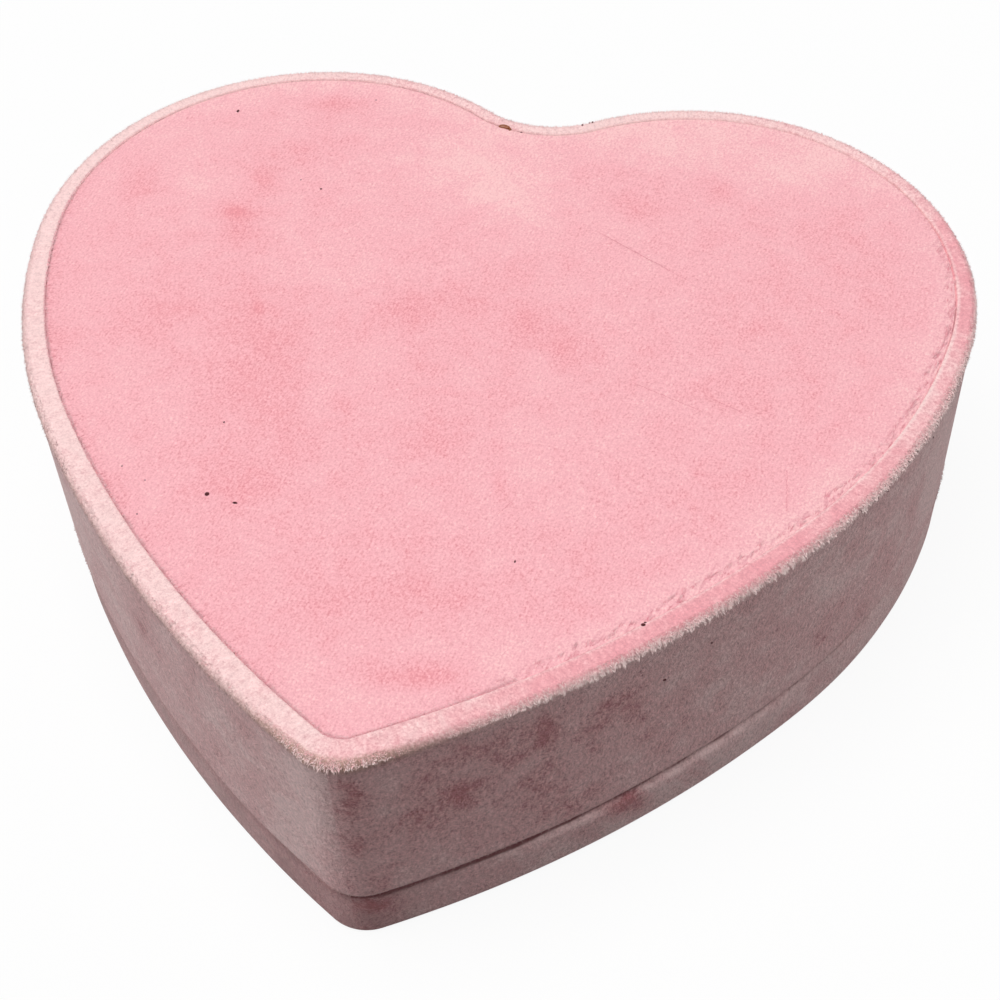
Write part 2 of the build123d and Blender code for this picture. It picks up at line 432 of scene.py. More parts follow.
def swell(x, y):
    """The padding's unevenness: the mean of sine waves of several lengths and directions."""
    way = x[..., None] * np.cos(SWELL_HEADINGS) + y[..., None] * np.sin(SWELL_HEADINGS)
    return SWELL_HEIGHT * np.sin(2 * np.pi * way / SWELL_LENGTHS + SWELL_PHASES).mean(axis=-1)


flank = along_flank(along)
print("waves round the outline:", WAVES, "and over the panel:", SWELLS)

# %% [markdown]
# ## Where the groove runs
#
# The panel wasn't glued quite in the middle of the lid: it sits a little towards the cleft. So at the tip
# and along the flanks the rim's roll lies over the panel's edge, and round the back the panel's edge lies
# over the roll. On the right flank the roll lies close on the panel, and no gap shows. A section is
# therefore described four times, for the sides, the front, the back and that flank, always with as
# many points. The skins are blended by the way in which the outline faces.

# %% Groove
GROOVE_SHIFT = 1.6 * MM
FLANK_SHIFT = 0.85 * MM


def groove_inset(normals, flank_share):
    """The inset of the groove where the outline faces along some normals: the rim's width less shift * y.
    The shift is smaller where the flank faces forwards."""
    eased = GROOVE_SHIFT + (FLANK_SHIFT - GROOVE_SHIFT) * flank_share
    shift = np.where(normals[..., 1] < 0, eased, GROOVE_SHIFT)
    return rim_width - shift * normals[..., 1]


def blended(plain, at_front, at_back, at_flank):
    """One skin from four sections: plain * (1 - |y|), back * (y, if positive) and front * (-y, if
    positive). Along the right flank its own section takes the front's place."""
    front = np.clip(-outward[:, 1:], 0, 1)
    back = np.clip(outward[:, 1:], 0, 1)
    ahead = carry(at_front) * (1 - flank[:, None]) + carry(at_flank) * flank[:, None]
    return carry(plain) * (1 - front - back) + ahead * front + carry(at_back) * back


groove = groove_inset(outward, flank)
print("groove:", np.round([groove.min() / MM, groove.max() / MM], 1), "mm from the outline")

# %% [markdown]
# ## The velvet of the lid's wall
#
# One strip of velvet covers the wall. It rolls over the top edge, which makes the pale rim, and goes down
# inside to the top board, where it is glued flat under the panel. At the lower edge it turns in and up.
# The whole strip is one closed section carried round the heart: first the pile side, then the glued side.
# Where the cloth rolls over the top edge it stands a little proud of the wall, more in some places than in
# others, as thick pile does over a fold. The two tables below give the sides, the front, the back and the
# right flank: first each reach, then rows of turn, tuck, lip, crest and bulge.

# %% Lid wall velvet
RIM_OUTER_ROUND = 1.7 * MM
LIP_ROUNDS = np.array([0.12, 0.15, 0.3]) * MM
LIP_SLOPE = 0.4 * MM
SEAM_ROUND = 0.6 * MM
FOLD_PROUD = 0.22 * MM
FOLD_DROP = 1.6 * MM
FOLD_REACH = 0.9 * MM
FOLD_WAVES = ((0.25, 14 * MM), (0.2, 4 * MM))
WALL_WAVE = 0.12 * MM
WALL_WAVE_LENGTH = 55 * MM
WALL_EASE = 6 * MM
LID_REACHES = (0, GROOVE_SHIFT, -GROOVE_SHIFT, FLANK_SHIFT)
LID_EDGES = np.array([
    (0.75, 0.3, 0, 0.15, 0),
    (0.8, 0.34, 0.1, 0.2, 0.1),
    (1.15, 1.05, -0.2, 0.8, 0.25),
    (0.75, 0.12, 0.3, 0.2, 0.1),
]) * MM

lid_bottom = bottom_of("lid_wall_velvet")
lid_board = (inset_of("lid_wall_board"), inset_of("lid_top_board"))
lid_board_levels = (bottom_of("lid_wall_board"), top_of("lid_wall_board"))
panel_seat = (top_of("lid_top_board"), bottom_of("panel_velvet"))


def lid_profile(reach, turn, tuck, lip, crest, bulge):
    """The strip's section. Inside the rim it leaves the wall a turn below the box's top, reaches inwards at
    a tuck below it, and comes back over a lip. The roll's outer corner is a crest above and a bulge out."""
    return rounded([
        (rim_width + TURN_UNDER, panel_seat[1], SOFT, 2),
        (rim_width, panel_seat[1], SOFT, 2),
        (rim_width, box_top - turn, LIP_ROUNDS[0], 3),
        (rim_width + reach, box_top - tuck, LIP_ROUNDS[1], 1),
        (rim_width + reach - LIP_SLOPE, box_top + lip, LIP_ROUNDS[2], 9),
        (-bulge, box_top + crest, RIM_OUTER_ROUND, 25),
        (0, lid_bottom, SEAM_ROUND, 3),
        (rim_width, lid_bottom, ROUND, 4),
        (rim_width, lid_bottom + TURN_IN, SOFT, 0),
        (lid_board[1], lid_bottom + TURN_IN, SOFT, 2),
        (lid_board[1], lid_board_levels[0], CRISP, 0),
        (lid_board[0], lid_board_levels[0], CRISP, 4),
        (lid_board[0], lid_board_levels[1], CRISP, 0),
        (lid_board[1], lid_board_levels[1], CRISP, 1),
        (lid_board[1], panel_seat[0], CRISP, 2),
        (rim_width + TURN_UNDER, panel_seat[0], SOFT, 0),
    ], closed=True)


lid_sections = [lid_profile(reach, *sizes) for reach, sizes in zip(LID_REACHES, LID_EDGES)]
lid_section = lid_sections[0]
lid_grid = blended(*lid_sections)
lid_outside = lid_section[:, 0] < lid_board[0] / 2
fold_share = 0.75 + sum(height * wander(along, length) for height, length in FOLD_WAVES)
fold_rows = hump(lid_section[:, 1], box_top - FOLD_DROP, FOLD_REACH)
wall_rows = rising(box_top - lid_section[:, 1], 0, WALL_EASE)
push = np.outer(fold_rows * lid_outside, fold_share) * FOLD_PROUD
push += np.outer(wall_rows * lid_outside, wander(along, WALL_WAVE_LENGTH)) * WALL_WAVE
lid_grid[..., :2] += push[..., None] * outward
lid_velvet = skin("lid_velvet", lid_grid, run_length(lid_section), "lid", ring=True)
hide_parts("lid_wall_velvet")

# %% [markdown]
# ## The velvet of the panel
#
# The panel is a heart of card with thin wadding on it. Its velvet lies over the face, wraps round the edge
# and is glued under the card. So the section runs from the middle of the cloth's back, out, round the
# card's edge from inside, back under the outer edge, and over the face to the middle again.

# %% Panel velvet
PANEL_ROUND = 0.3 * MM
CARD_ROUND = 0.3 * MM
PANEL_FACE_FROM = 3 * MM
FACE_RINGS = 46
BACK_SHARES = (0.05, 0.4, 0.75)
EDGE_HOLD = 9.0 * MM
PANEL_REACHES = (0.1 * MM, 0.15 * MM - GROOVE_SHIFT, GROOVE_SHIFT, 0.1 * MM)
PANEL_RISES = (0, 0, 0.2 * MM, 0)


def wrapped(cloth, card, padding, corner_round, face_from, reach=0.0, rise=0.0):
    """The section of a cloth wrapped round a card: along its back, round the card, and on to its face. The
    upper edge may reach out beyond the side below it, or stand back from it, and rise over the face."""
    outer, inner = inset_of(cloth), inset_of(card)
    under, top = bottom_of(cloth), top_of(cloth)
    back, card_low = top_of(padding), bottom_of(card)
    edge_low = top + rise - corner_round - LIP_ROUNDS[1]
    return rounded([
        (inner + 2 * corner_round, back, 0, 1),
        (inner, back, CARD_ROUND, 2),
        (inner, card_low, CRISP, 3),
        (inner + TURN_UNDER, card_low, SOFT, 0),
        (inner + TURN_UNDER, under, SOFT, 3),
        (outer, under, ROUND, 2),
        (outer, edge_low - 2 * LIP_ROUNDS[1], LIP_ROUNDS[0], 2),
        (outer - reach, edge_low, LIP_ROUNDS[1], 0),
        (outer - reach, top + rise, corner_round, 6),
        (outer + face_from, top, 0, 0),
    ])


def closed_over(wrap, shares):
    """A whole cloth: rings on its back, its wrapped edge, and rings over its face."""
    return np.concatenate([shrink(wrap[0], BACK_SHARES), wrap, shrink(wrap[-1], shares)])


def cloth_lengths(section, depths):
    """How far along such a cloth each row lies, its face's rows being some depths past its edge."""
    run = run_length(section)
    return np.concatenate([np.zeros(len(BACK_SHARES)), run, run[-1] + depths])


panel_names = ("panel_velvet", "panel_card", "panel_wadding")
panel_sections = [
    wrapped(*panel_names, PANEL_ROUND, PANEL_FACE_FROM, *sizes) for sizes in zip(PANEL_REACHES, PANEL_RISES)
]
panel_wrap = blended(*panel_sections)
face_shares = np.linspace(1, 0, FACE_RINGS + 1)[1:-1]
panel_grid = closed_over(panel_wrap, face_shares)
face_depth = np.linalg.norm(panel_wrap[-1, :, :2] - middle, axis=1).mean() * (1 - face_shares)
is_face = (np.arange(len(panel_grid)) >= len(panel_grid) - len(face_shares))[:, None]
edge_gap = ((edge - panel_grid[..., :2]) * outward).sum(axis=2) - groove
hold = rising(edge_gap, PANEL_FACE_FROM, EDGE_HOLD) ** 2
panel_grid[..., 2] += is_face * hold * swell(panel_grid[..., 0], panel_grid[..., 1])
panel_lengths = cloth_lengths(panel_sections[0], face_depth)
panel_velvet = skin("panel_velvet_cloth", panel_grid, panel_lengths, "lid", ring=False)
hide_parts("panel_velvet")

# %% [markdown]
# ## The velvet of the base
#
# The base's strip comes in over the band's top edge, where the lid's edge rests close above it, and turns
# under the floor board. It stands back a little from the lid, which leaves the dark line of the seam. On the
# right, near the tip, the cloth rolls out below that line, even past the lid's edge.

# %% Base velvet
BOTTOM_ROUND = 0.9 * MM
BAND_ROUND = 1.3 * MM
BAND_WAVE_LENGTH = 22 * MM
BASE_PROUD, PROUD_FROM, PROUD_OVER = 0.24 * MM, 1.5 * MM, 3.0 * MM
ROLL_PROUD, ROLL_FROM, ROLL_OVER = 0.75 * MM, 0.4 * MM, 1.8 * MM
ROLL_END, ROLL_FALL = 12 * MM, 9 * MM
ROLL_START, ROLL_GROWS = 22 * MM, 25 * MM
ROLL_WANES_FROM, ROLL_WANES = 80 * MM, 25 * MM
CLEFT_FADE = 60 * MM

base_edge = inset_of("base_wall_velvet")
base_board = (inset_of("base_wall_board"), inset_of("base_floor_board"))
neck_edge = inset_of("neck_lining")
band_top = top_of("base_wall_velvet")
band_board_top = top_of("base_wall_board")
base_bottom = bottom_of("base_wall_velvet")
floor_board_bottom = bottom_of("base_floor_board")
band_turn_bottom = top_of("base_stay_tape")
base_section = rounded([
    (neck_edge, band_turn_bottom, SOFT, 2),
    (neck_edge, band_top, ROUND, 2),
    (base_edge, band_top, BAND_ROUND, 14),
    (base_edge, base_bottom, BOTTOM_ROUND, 4),
    (base_board[0] + TURN_UNDER, base_bottom, SOFT, 0),
    (base_board[0] + TURN_UNDER, floor_board_bottom, SOFT, 3),
    (base_board[0], floor_board_bottom, CRISP, 3),
    (base_board[0], band_board_top, CRISP, 1),
    (base_board[1], band_board_top, CRISP, 2),
    (base_board[1], band_turn_bottom, SOFT, 0),
], closed=True)
base_grid = carry(base_section)
base_outside = (base_section[:, 0] < base_board[0] - ROUND)[:, None]
base_drop = (band_top - base_section[:, 1])[:, None]
band_rows = np.sin(np.pi * rising(base_section[:, 1:], base_bottom, band_top - base_bottom))
roll_along = rising(along, ROLL_START, ROLL_GROWS) * rising(along, perimeter / 2, -CLEFT_FADE)
roll_along = roll_along * (1 - 0.75 * rising(along, ROLL_WANES_FROM, ROLL_WANES))
roll_rows = rising(base_drop, ROLL_FROM, ROLL_OVER) * rising(base_drop, ROLL_END, -ROLL_FALL)
push = band_rows * wander(along, BAND_WAVE_LENGTH) * WALL_WAVE
push = push + rising(base_drop, PROUD_FROM, PROUD_OVER) * BASE_PROUD + roll_rows * roll_along * ROLL_PROUD
base_grid[..., :2] += (base_outside * push)[..., None] * outward
base_velvet = skin("base_velvet", base_grid, run_length(base_section), "base", ring=True)
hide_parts("base_wall_velvet")

# %% [markdown]
# ## The padded floor, and the padding itself
#
# Inside, a foam pad under velvet covers the floor. It shows only when the lid is off. The foam, and the
# wadding of the panel, are soft pieces of their own: pads whose faces are crowned a little and whose edges
# draw in.

# %% Floor velvet, foam and wadding
PAD_ROUND = 1.4 * MM
PAD_FACE_FROM = 2.2 * MM
PAD_RINGS = 24
PAD_EDGE = 0.4
CROWN = 0.12

pad_shares = np.linspace(1, 0, PAD_RINGS + 1)[1:-1]
floor_section = wrapped("floor_velvet", "floor_card", "floor_foam", PAD_ROUND, PAD_FACE_FROM)
floor_grid = closed_over(carry(floor_section), pad_shares)
floor_lengths = cloth_lengths(floor_section, face_depth[0] * (1 + np.arange(len(pad_shares))))
floor_velvet = skin("floor_velvet_cloth", floor_grid, floor_lengths, "base", ring=False)
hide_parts("floor_velvet")


def pad(name, node, body):
    """A thin pad in the place of a packed one: flat below, drawn in at its edge, crowned above by
    crown * (1 - share ** 4)."""
    inset, low, high = inset_of(node), bottom_of(node), top_of(node)
    crown = (high - low) * CROWN
    radius = (high - low) * PAD_EDGE
    section = rounded([
        (inset + 3 * radius, low, 0, 1),
        (inset, low, radius, 1),
        (inset, high - crown, radius, 1),
        (inset + 3 * radius, high - crown, 0, 0),
    ])
    grid = closed_over(carry(section), pad_shares)
    grid[-len(pad_shares):, :, 2] += (crown * (1 - pad_shares**4))[:, None]
    made = skin(name, grid, np.arange(len(grid)) * MM, body, ring=False)
    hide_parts(node)
    return made


wadding = pad("panel_wadding_pad", "panel_wadding", "lid")
foam = pad("floor_foam_pad", "floor_foam", "base")

# %% [markdown]
# ## Pile that stands out of the folds
#
# Where velvet is folded, its pile opens and stands away from the cloth. Along the rim's lower edge it
# makes pale tufts over the shadow of the wall, long and ragged at the tip, and along the seam it makes a
# fine fuzzy line. A tuft is a three-sided tapered blade with seven points, bent down a little, and a spike
# is a shorter one with four. Thousands of them are worked out at once, as one array.

# %% Blades
TUFT_SHARES = np.array([0.0, 0.0, 0.0, 0.5, 0.5, 0.5, 1.0])
TUFT_SPREADS = np.array([1.0, 1.0, 1.0, 0.75, 0.75, 0.75, 0.0])
TUFT_FACES = [(0, 2, 1), (0, 1, 4, 3), (1, 2, 5, 4), (2, 0, 3, 5), (3, 4, 6), (4, 5, 6), (5, 3, 6)]
SPIKE_SHARES = np.array([0.0, 0.0, 0.0, 1.0])
SPIKE_SPREADS = np.array([1.0, 1.0, 1.0, 0.0])
SPIKE_FACES = [(0, 2, 1), (0, 1, 3), (1, 2, 3), (2, 0, 3)]


def at_way(way):
    """Points of the outline and outward directions at any distances round it."""
    way = np.mod(way, perimeter)
    stations = np.append(along, perimeter)
    both = np.column_stack([edge, outward])
    both = np.concatenate([both, both[:1]])
    found = np.column_stack([np.interp(way, stations, values) for values in both.T])
    return found[:, :2], found[:, 2:]


def blades(name, shares, spreads, blade_faces, roots, leans, lengths, widths, sag, normals, body):
    """Three-sided tapered blades. Point t of a blade lies at root + lean * length * t, sunk by
    sag * length * t * t, and stands some share of half a width off that line. The blades are lit by normals
    of their own, as is done for grass and fur, so that thousands of slivers shade as one soft surface."""
    count, size = len(roots), len(shares)
    leans = leans / np.linalg.norm(leans, axis=1, keepdims=True)
    side = np.cross(leans, rng.normal(size=(count, 3)))
    side /= np.linalg.norm(side, axis=1, keepdims=True)
    other = np.cross(leans, side)
    turn = 2 * np.pi / 3 * (np.arange(size) % 3)
    reach = lengths[:, None] * shares
    points = roots[:, None] + leans[:, None] * reach[..., None]
    points[..., 2] -= sag * reach * shares
    half = widths[:, None] / 2 * spreads
    points += side[:, None] * (half * np.cos(turn))[..., None]
    points += other[:, None] * (half * np.sin(turn))[..., None]
    corners = np.arange(count)[:, None] * size
    faces = [row for face in blade_faces for row in (corners + np.array(face)).tolist()]
    piece = finish_mesh(name, points, faces, body)
    piece.data.normals_split_custom_set_from_vertices(np.repeat(normals, size, axis=0).tolist())
    return piece


def tufts(name, roots, leans, lengths, widths, sag, normals, body, tones):
    """Tufts, each with a shade stored on it: its own tone plus half of the way to its tip."""
    shape = (TUFT_SHARES, TUFT_SPREADS, TUFT_FACES)
    piece = blades(name, *shape, roots, leans, lengths, widths, sag, normals, body)
    mark(piece, "shade", tones[:, None] + TUFT_SHARES / 2)
    return piece


# %% [markdown]
# Fibres on the rim's roll need places there. A place is its way round the outline and its way over the
# fold, counted along the section from where the roll starts to turn down. Between the points of the grid,
# values are mixed from the four neighbours.

# %% Places on the roll


def mixed(grid, row, column):
    """Values of a grid between its points: the mean of four neighbours, weighted by nearness."""
    j, i = np.floor(row).astype(int), np.floor(column).astype(int)
    v, u = (row - j)[:, None], (column - i)[:, None]
    after = (i + 1) % grid.shape[1]
    near = grid[j, i] * (1 - u) + grid[j, after] * u
    far = grid[j + 1, i] * (1 - u) + grid[j + 1, after] * u
    return near * (1 - v) + far * v


lid_run = run_length(lid_section)
turn_row = np.flatnonzero(lid_section[:, 0] < RIM_OUTER_ROUND + CRISP / 2)[0]
fold_of_rows = lid_run - lid_run[turn_row]
over_fold = np.gradient(lid_grid, axis=0)
round_edge = np.roll(lid_grid, -1, axis=1) - np.roll(lid_grid, 1, axis=1)
lid_normals = np.cross(over_fold, round_edge)
lid_normals /= np.maximum(np.linalg.norm(lid_normals, axis=2, keepdims=True), 1e-12)


def on_roll(way, fold):
    """Places on the roll, with the cloth's normals and the directions down over the fold."""
    row = np.interp(fold, fold_of_rows, np.arange(len(fold_of_rows)))
    column = np.interp(way, np.append(along, perimeter), np.arange(len(edge) + 1)) % len(edge)
    down = mixed(over_fold, row, column)
    down /= np.linalg.norm(down, axis=1, keepdims=True)
    return mixed(lid_grid, row, column), mixed(lid_normals, row, column), down


print("the roll turns down from row", turn_row, "of", len(lid_section))

# %% [markdown]
# Over the fold the pile parts in rows, so the rim's tufts stand in clumps that lean together at their tips.
# They are where the photograph shows them: at the tip and along the right flank.

# %% Tufts along the rim
CLUMP_SPACING = 0.85 * MM
CLUMP_BLADES = 40
CLUMP_SPREAD = 0.42 * MM
TUFT_LENGTH = 0.95 * MM
TUFT_WIDTH = 0.17 * MM
TUFT_FOLDS = (0.5 * MM, 2.5 * MM)
TUFT_SAG = 0.25
TUFT_LEAST = 0.2
TUFT_SHORTEST = 0.3 * MM
TIP_RISE = 0.5 * MM
TIP_REACH = 10.0 * MM
FRINGE_TO = 165 * MM
SKYWARD = np.array([0.0, 0.0, 0.7])

clumps = int(perimeter / CLUMP_SPACING)
clump_way = (np.arange(clumps) + rng.uniform(-0.45, 0.45, clumps)) * CLUMP_SPACING
clump_way = np.repeat(clump_way, CLUMP_BLADES)
clump_strength = np.repeat(rng.uniform(0.45, 1.15, clumps), CLUMP_BLADES)
count = len(clump_way)
tuft_way = np.mod(clump_way + rng.normal(scale=CLUMP_SPREAD, size=count), perimeter)
at_tip = hump(from_tip(tuft_way), 0, TIP_REACH)
at_flank = along_flank(tuft_way) * soft_step(tuft_way, FRINGE_TO, -2 * FLANK_EASE)
ragged = np.maximum(at_flank, 1.1 * at_tip) * clump_strength
tuft_folds = rng.uniform(*TUFT_FOLDS, count) - TIP_RISE * at_tip * rng.uniform(0, 1, count)
lowered = rising(tuft_folds, TUFT_FOLDS[0], TUFT_FOLDS[1] - TUFT_FOLDS[0])
tuft_lengths = TUFT_LENGTH * ragged * rng.uniform(0.4, 1.15, count) * (0.5 + 0.5 * lowered)
roots, tuft_normals, down_fold = on_roll(tuft_way, tuft_folds)
closing = np.clip((clump_way - tuft_way) / np.maximum(tuft_lengths, TUFT_SHORTEST), -0.5, 0.5) - 0.1
leans = tuft_normals * 0.5 + down_fold * 0.7 + np.cross(tuft_normals, down_fold) * closing[:, None]
leans += rng.normal(scale=0.22, size=leans.shape)
tuft_widths = TUFT_WIDTH * rng.uniform(0.6, 1.4, count)
tuft_tones = rng.uniform(-0.2, 0.35, count) + 0.5 * lowered
kept = ragged > TUFT_LEAST
rim_tufts = tufts(
    "rim_tufts", roots[kept], leans[kept], tuft_lengths[kept], tuft_widths[kept], TUFT_SAG,
    tuft_normals[kept] * 0.18 + SKYWARD, "lid", tuft_tones[kept],
)

# %% [markdown]
# The rest of the fold is fuzzy too, so it gets its pile one by one: tiny spikes that lie outwards and down.

# %% Pile of the rim
RIM_SPIKES = 26000
SPIKE_LENGTH = 0.5 * MM
SPIKE_WIDTH = 0.16 * MM
SPIKE_FOLDS = (0.4 * MM, 3.1 * MM)
SPIKE_DEPTH = 0.05 * MM

spike_way = rng.uniform(0, perimeter, RIM_SPIKES)
spike_fold = rng.uniform(*SPIKE_FOLDS, RIM_SPIKES)
roots, spike_normals, down_fold = on_roll(spike_way, spike_fold)
leans = down_fold * 0.6 + spike_normals * 0.45 + rng.normal(scale=0.35, size=(RIM_SPIKES, 3))
spike_lengths = SPIKE_LENGTH * rng.uniform(0.5, 1.4, RIM_SPIKES)
spike_widths = SPIKE_WIDTH * rng.uniform(0.6, 1.3, RIM_SPIKES)
rim_pile = blades(
    "rim_pile", SPIKE_SHARES, SPIKE_SPREADS, SPIKE_FACES, roots - spike_normals * SPIKE_DEPTH, leans,
    spike_lengths, spike_widths, 0.0, spike_normals + 0.4 * SKYWARD, "lid",
)

# %% [markdown]
# At the panel's edge the pile opens as well. On the right flank it stands up in a row of little crests,
# brushed away from us, just inside the groove. On the left single hairs of the rim reach in over the
# groove. A few loose fibres lie on the panel itself, each a row of blades from one pixel to another.

# %% Pile along the groove
CREST_SPACING = 1.7 * MM
CREST_BLADES = 7
CREST_SPARE = 10
CREST_SPREAD = 0.34 * MM
CREST_DEPTHS = (0.3 * MM, 1.9 * MM)
CREST_LENGTH = 1.7 * MM
CREST_WIDTH = 0.22 * MM
CREST_HEADING = math.radians(72)
EDGE_HAIRS = 3600
HAIR_LENGTH = 0.8 * MM
HAIR_WIDTH = 0.12 * MM
HAIR_DEPTH = 0.06 * MM
FIBRES = [
    ((597, 231), (712, 294)), ((632, 382), (700, 410)), ((706, 396), (742, 412)),
    ((498, 514), (512, 502)), ((787, 470), (787, 510)),
]
FIBRE_BLADES = 40
FIBRE_WIDTH = 0.13 * MM
FIBRE_SCATTER = 0.05 * MM
FACE_DEPTH = 0.03 * MM
GROOVE_SAG = 0.02


def on_face(way, depth):
    """Places on the panel's face at a depth inside the groove, and the outward directions there."""
    points, normals = at_way(way)
    flat = points - normals * (groove_inset(normals, along_flank(way)) + depth)[:, None]
    return np.column_stack([flat, np.full(len(way), panel_top - FACE_DEPTH)]), normals


def on_panel(pixels):
    """Places on the panel's face under photograph pixels."""
    places = on_level(pixels, panel_top)
    places[..., 2] += swell(places[..., 0], places[..., 1])
    return places


def headed(turns, rises):
    """Directions that point along some turns about +Z, with some rises."""
    return np.column_stack([np.cos(turns), np.sin(turns), rises])


crests = int((FLANK_TO - FLANK_FROM) / CREST_SPACING) + 2 * CREST_SPARE
crest_way = np.arange(crests) - CREST_SPARE + rng.uniform(-0.4, 0.4, crests)
crest_way = FLANK_FROM + np.repeat(crest_way, CREST_BLADES) * CREST_SPACING
crest_depth = np.repeat(rng.uniform(*CREST_DEPTHS, crests), CREST_BLADES)
count = len(crest_way)
crest_strength = along_flank(crest_way) * np.repeat(rng.uniform(0.2, 1.0, crests), CREST_BLADES)
crest_way = crest_way + rng.normal(scale=CREST_SPREAD, size=count)
crest_roots = on_face(crest_way, crest_depth + rng.normal(scale=CREST_SPREAD / 2, size=count))[0]
crest_turns = CREST_HEADING + rng.normal(scale=0.25, size=count)
crest_leans = headed(crest_turns, rng.uniform(0.1, 0.4, count))
crest_lengths = CREST_LENGTH * crest_strength * rng.uniform(0.5, 1.3, count)
hair_way = perimeter * (1 - rng.uniform(-0.06, 0.5, EDGE_HAIRS))
hair_roots, hair_normals = on_face(hair_way, rng.uniform(-0.45, 0.1, EDGE_HAIRS) * MM)
hair_roots[:, 2] = box_top - HAIR_DEPTH
hair_turns = np.arctan2(-hair_normals[:, 1], -hair_normals[:, 0]) + rng.normal(scale=0.4, size=EDGE_HAIRS)
hair_leans = headed(hair_turns, rng.uniform(-0.3, -0.1, EDGE_HAIRS))
hair_lengths = HAIR_LENGTH * rng.uniform(0.5, 1.2, EDGE_HAIRS) * np.clip(0.8 - hair_normals[:, 1], 0.1, 1)
fibre_ends = on_panel(np.array(FIBRES, float))
fibre_steps = np.linspace(0, 1, FIBRE_BLADES)[:, None]
fibre_roots = (fibre_ends[:, :1] * (1 - fibre_steps) + fibre_ends[:, 1:] * fibre_steps).reshape(-1, 3)
fibre_leans = np.repeat(fibre_ends[:, 1] - fibre_ends[:, 0], FIBRE_BLADES, axis=0)
fibre_lengths = np.linalg.norm(fibre_leans, axis=1) * (2 / FIBRE_BLADES)
fibre_roots[:, :2] += rng.normal(scale=FIBRE_SCATTER, size=(len(fibre_roots), 2))
groups = (count, EDGE_HAIRS, len(fibre_roots))
group_widths = np.repeat([CREST_WIDTH, HAIR_WIDTH, FIBRE_WIDTH], groups)
group_tones = np.repeat([0.0, 0.2, -0.5], groups)
feathers = tufts(
    "groove_pile",
    np.concatenate([crest_roots, hair_roots, fibre_roots]),
    np.concatenate([crest_leans, hair_leans, fibre_leans]),
    np.maximum(np.concatenate([crest_lengths, hair_lengths, fibre_lengths]), CRISP),
    group_widths * rng.uniform(0.6, 1.3, sum(groups)),
    GROOVE_SAG,
    np.broadcast_to([0.0, 0.0, 1.0], (sum(groups), 3)),
    "lid",
    group_tones + rng.uniform(0, 0.45, sum(groups)),
)

# %% [markdown]
# Along the seam the fuzz is short: fibres of the lid hang over the gap, and fibres of the base's top roll
# stand up to meet them.

# %% Fuzz along the seam
SEAM_TUFTS = 4200
FUZZ_LENGTH = 0.4 * MM
FUZZ_WIDTH = 0.18 * MM
FUZZ_SAG = 0.1


def seam_fuzz(name, inset, level, spread, upward, body):
    """Short fibres about a level of a wall, leaning outwards and up or down. They are painted duller on the
    left and paler on the right: painted shade and light, as on the band beside them.
    """
    way = rng.uniform(0, perimeter, SEAM_TUFTS)
    points, normals = at_way(way)
    roots = np.column_stack([points - normals * inset, np.full(SEAM_TUFTS, level)])
    roots[:, 2] += rng.normal(scale=spread, size=SEAM_TUFTS)
    leans = np.column_stack([normals * 0.5, np.full(SEAM_TUFTS, 0.7 * upward)])
    leans += rng.normal(scale=0.4, size=leans.shape)
    lengths = FUZZ_LENGTH * rng.uniform(0.4, 1.3, SEAM_TUFTS)
    widths = FUZZ_WIDTH * rng.uniform(0.6, 1.3, SEAM_TUFTS)
    shading = np.column_stack([normals, np.full(SEAM_TUFTS, 0.3)])
    tones = rng.uniform(-0.2, 0.5, SEAM_TUFTS) + 0.2 * np.clip(normals[:, 0], -1, 1)
    made = tufts(name, roots, leans, lengths, widths, FUZZ_SAG, shading, body, tones)
    return made


lid_fuzz = seam_fuzz(
    "lid_seam_fuzz", inset=0.1 * MM, level=lid_bottom + 0.7 * MM, spread=0.15 * MM, upward=-1, body="lid",
)
base_fuzz = seam_fuzz(
    "base_seam_fuzz", inset=base_edge + 0.05 * MM, level=band_top - 2.2 * MM, spread=0.5 * MM, upward=1,
    body="base",
)

# %% [markdown]
# ## Lint and marks
#
# The box has been handled: specks of lint lie on it, and a bead of dried glue sits in the groove at
# the cleft. Each is a small flattened lump, a sphere stretched and squeezed, set on the surface under the
# pixel where the photograph shows it. Two lumps together make the large speck on the rim.

# %% Lint and glue
LINT = {
    "large": (0.32, [(643.6, 625.0), (644.2, 623.6)]),
    "dark": (0.38, [(207, 494), (235, 503), (238, 111)]),
    "small": (0.22, [
        (224, 422), (122, 466), (145, 480), (137, 514), (321, 189), (301, 180), (376, 100), (515, 561),
    ]),
    "rim": (0.3, [(589, 122), (591, 122), (583, 125), (521, 132)]),
    "wall": (0.26, [(878, 497), (888, 492), (933, 438), (713, 642), (666, 681)]),
}
LINT_FLATNESS = 0.5
GLUE_PIXELS = [(502, 127), (504, 127), (507, 128), (510, 130)]
GLUE_SIZES = np.array([0.7, 0.8, 0.75, 0.5]) * MM
GLUE_FLATNESS = 0.7
LUMP_ROWS, LUMP_COLUMNS = 5, 8
RIM_DROP = 0.3 * MM


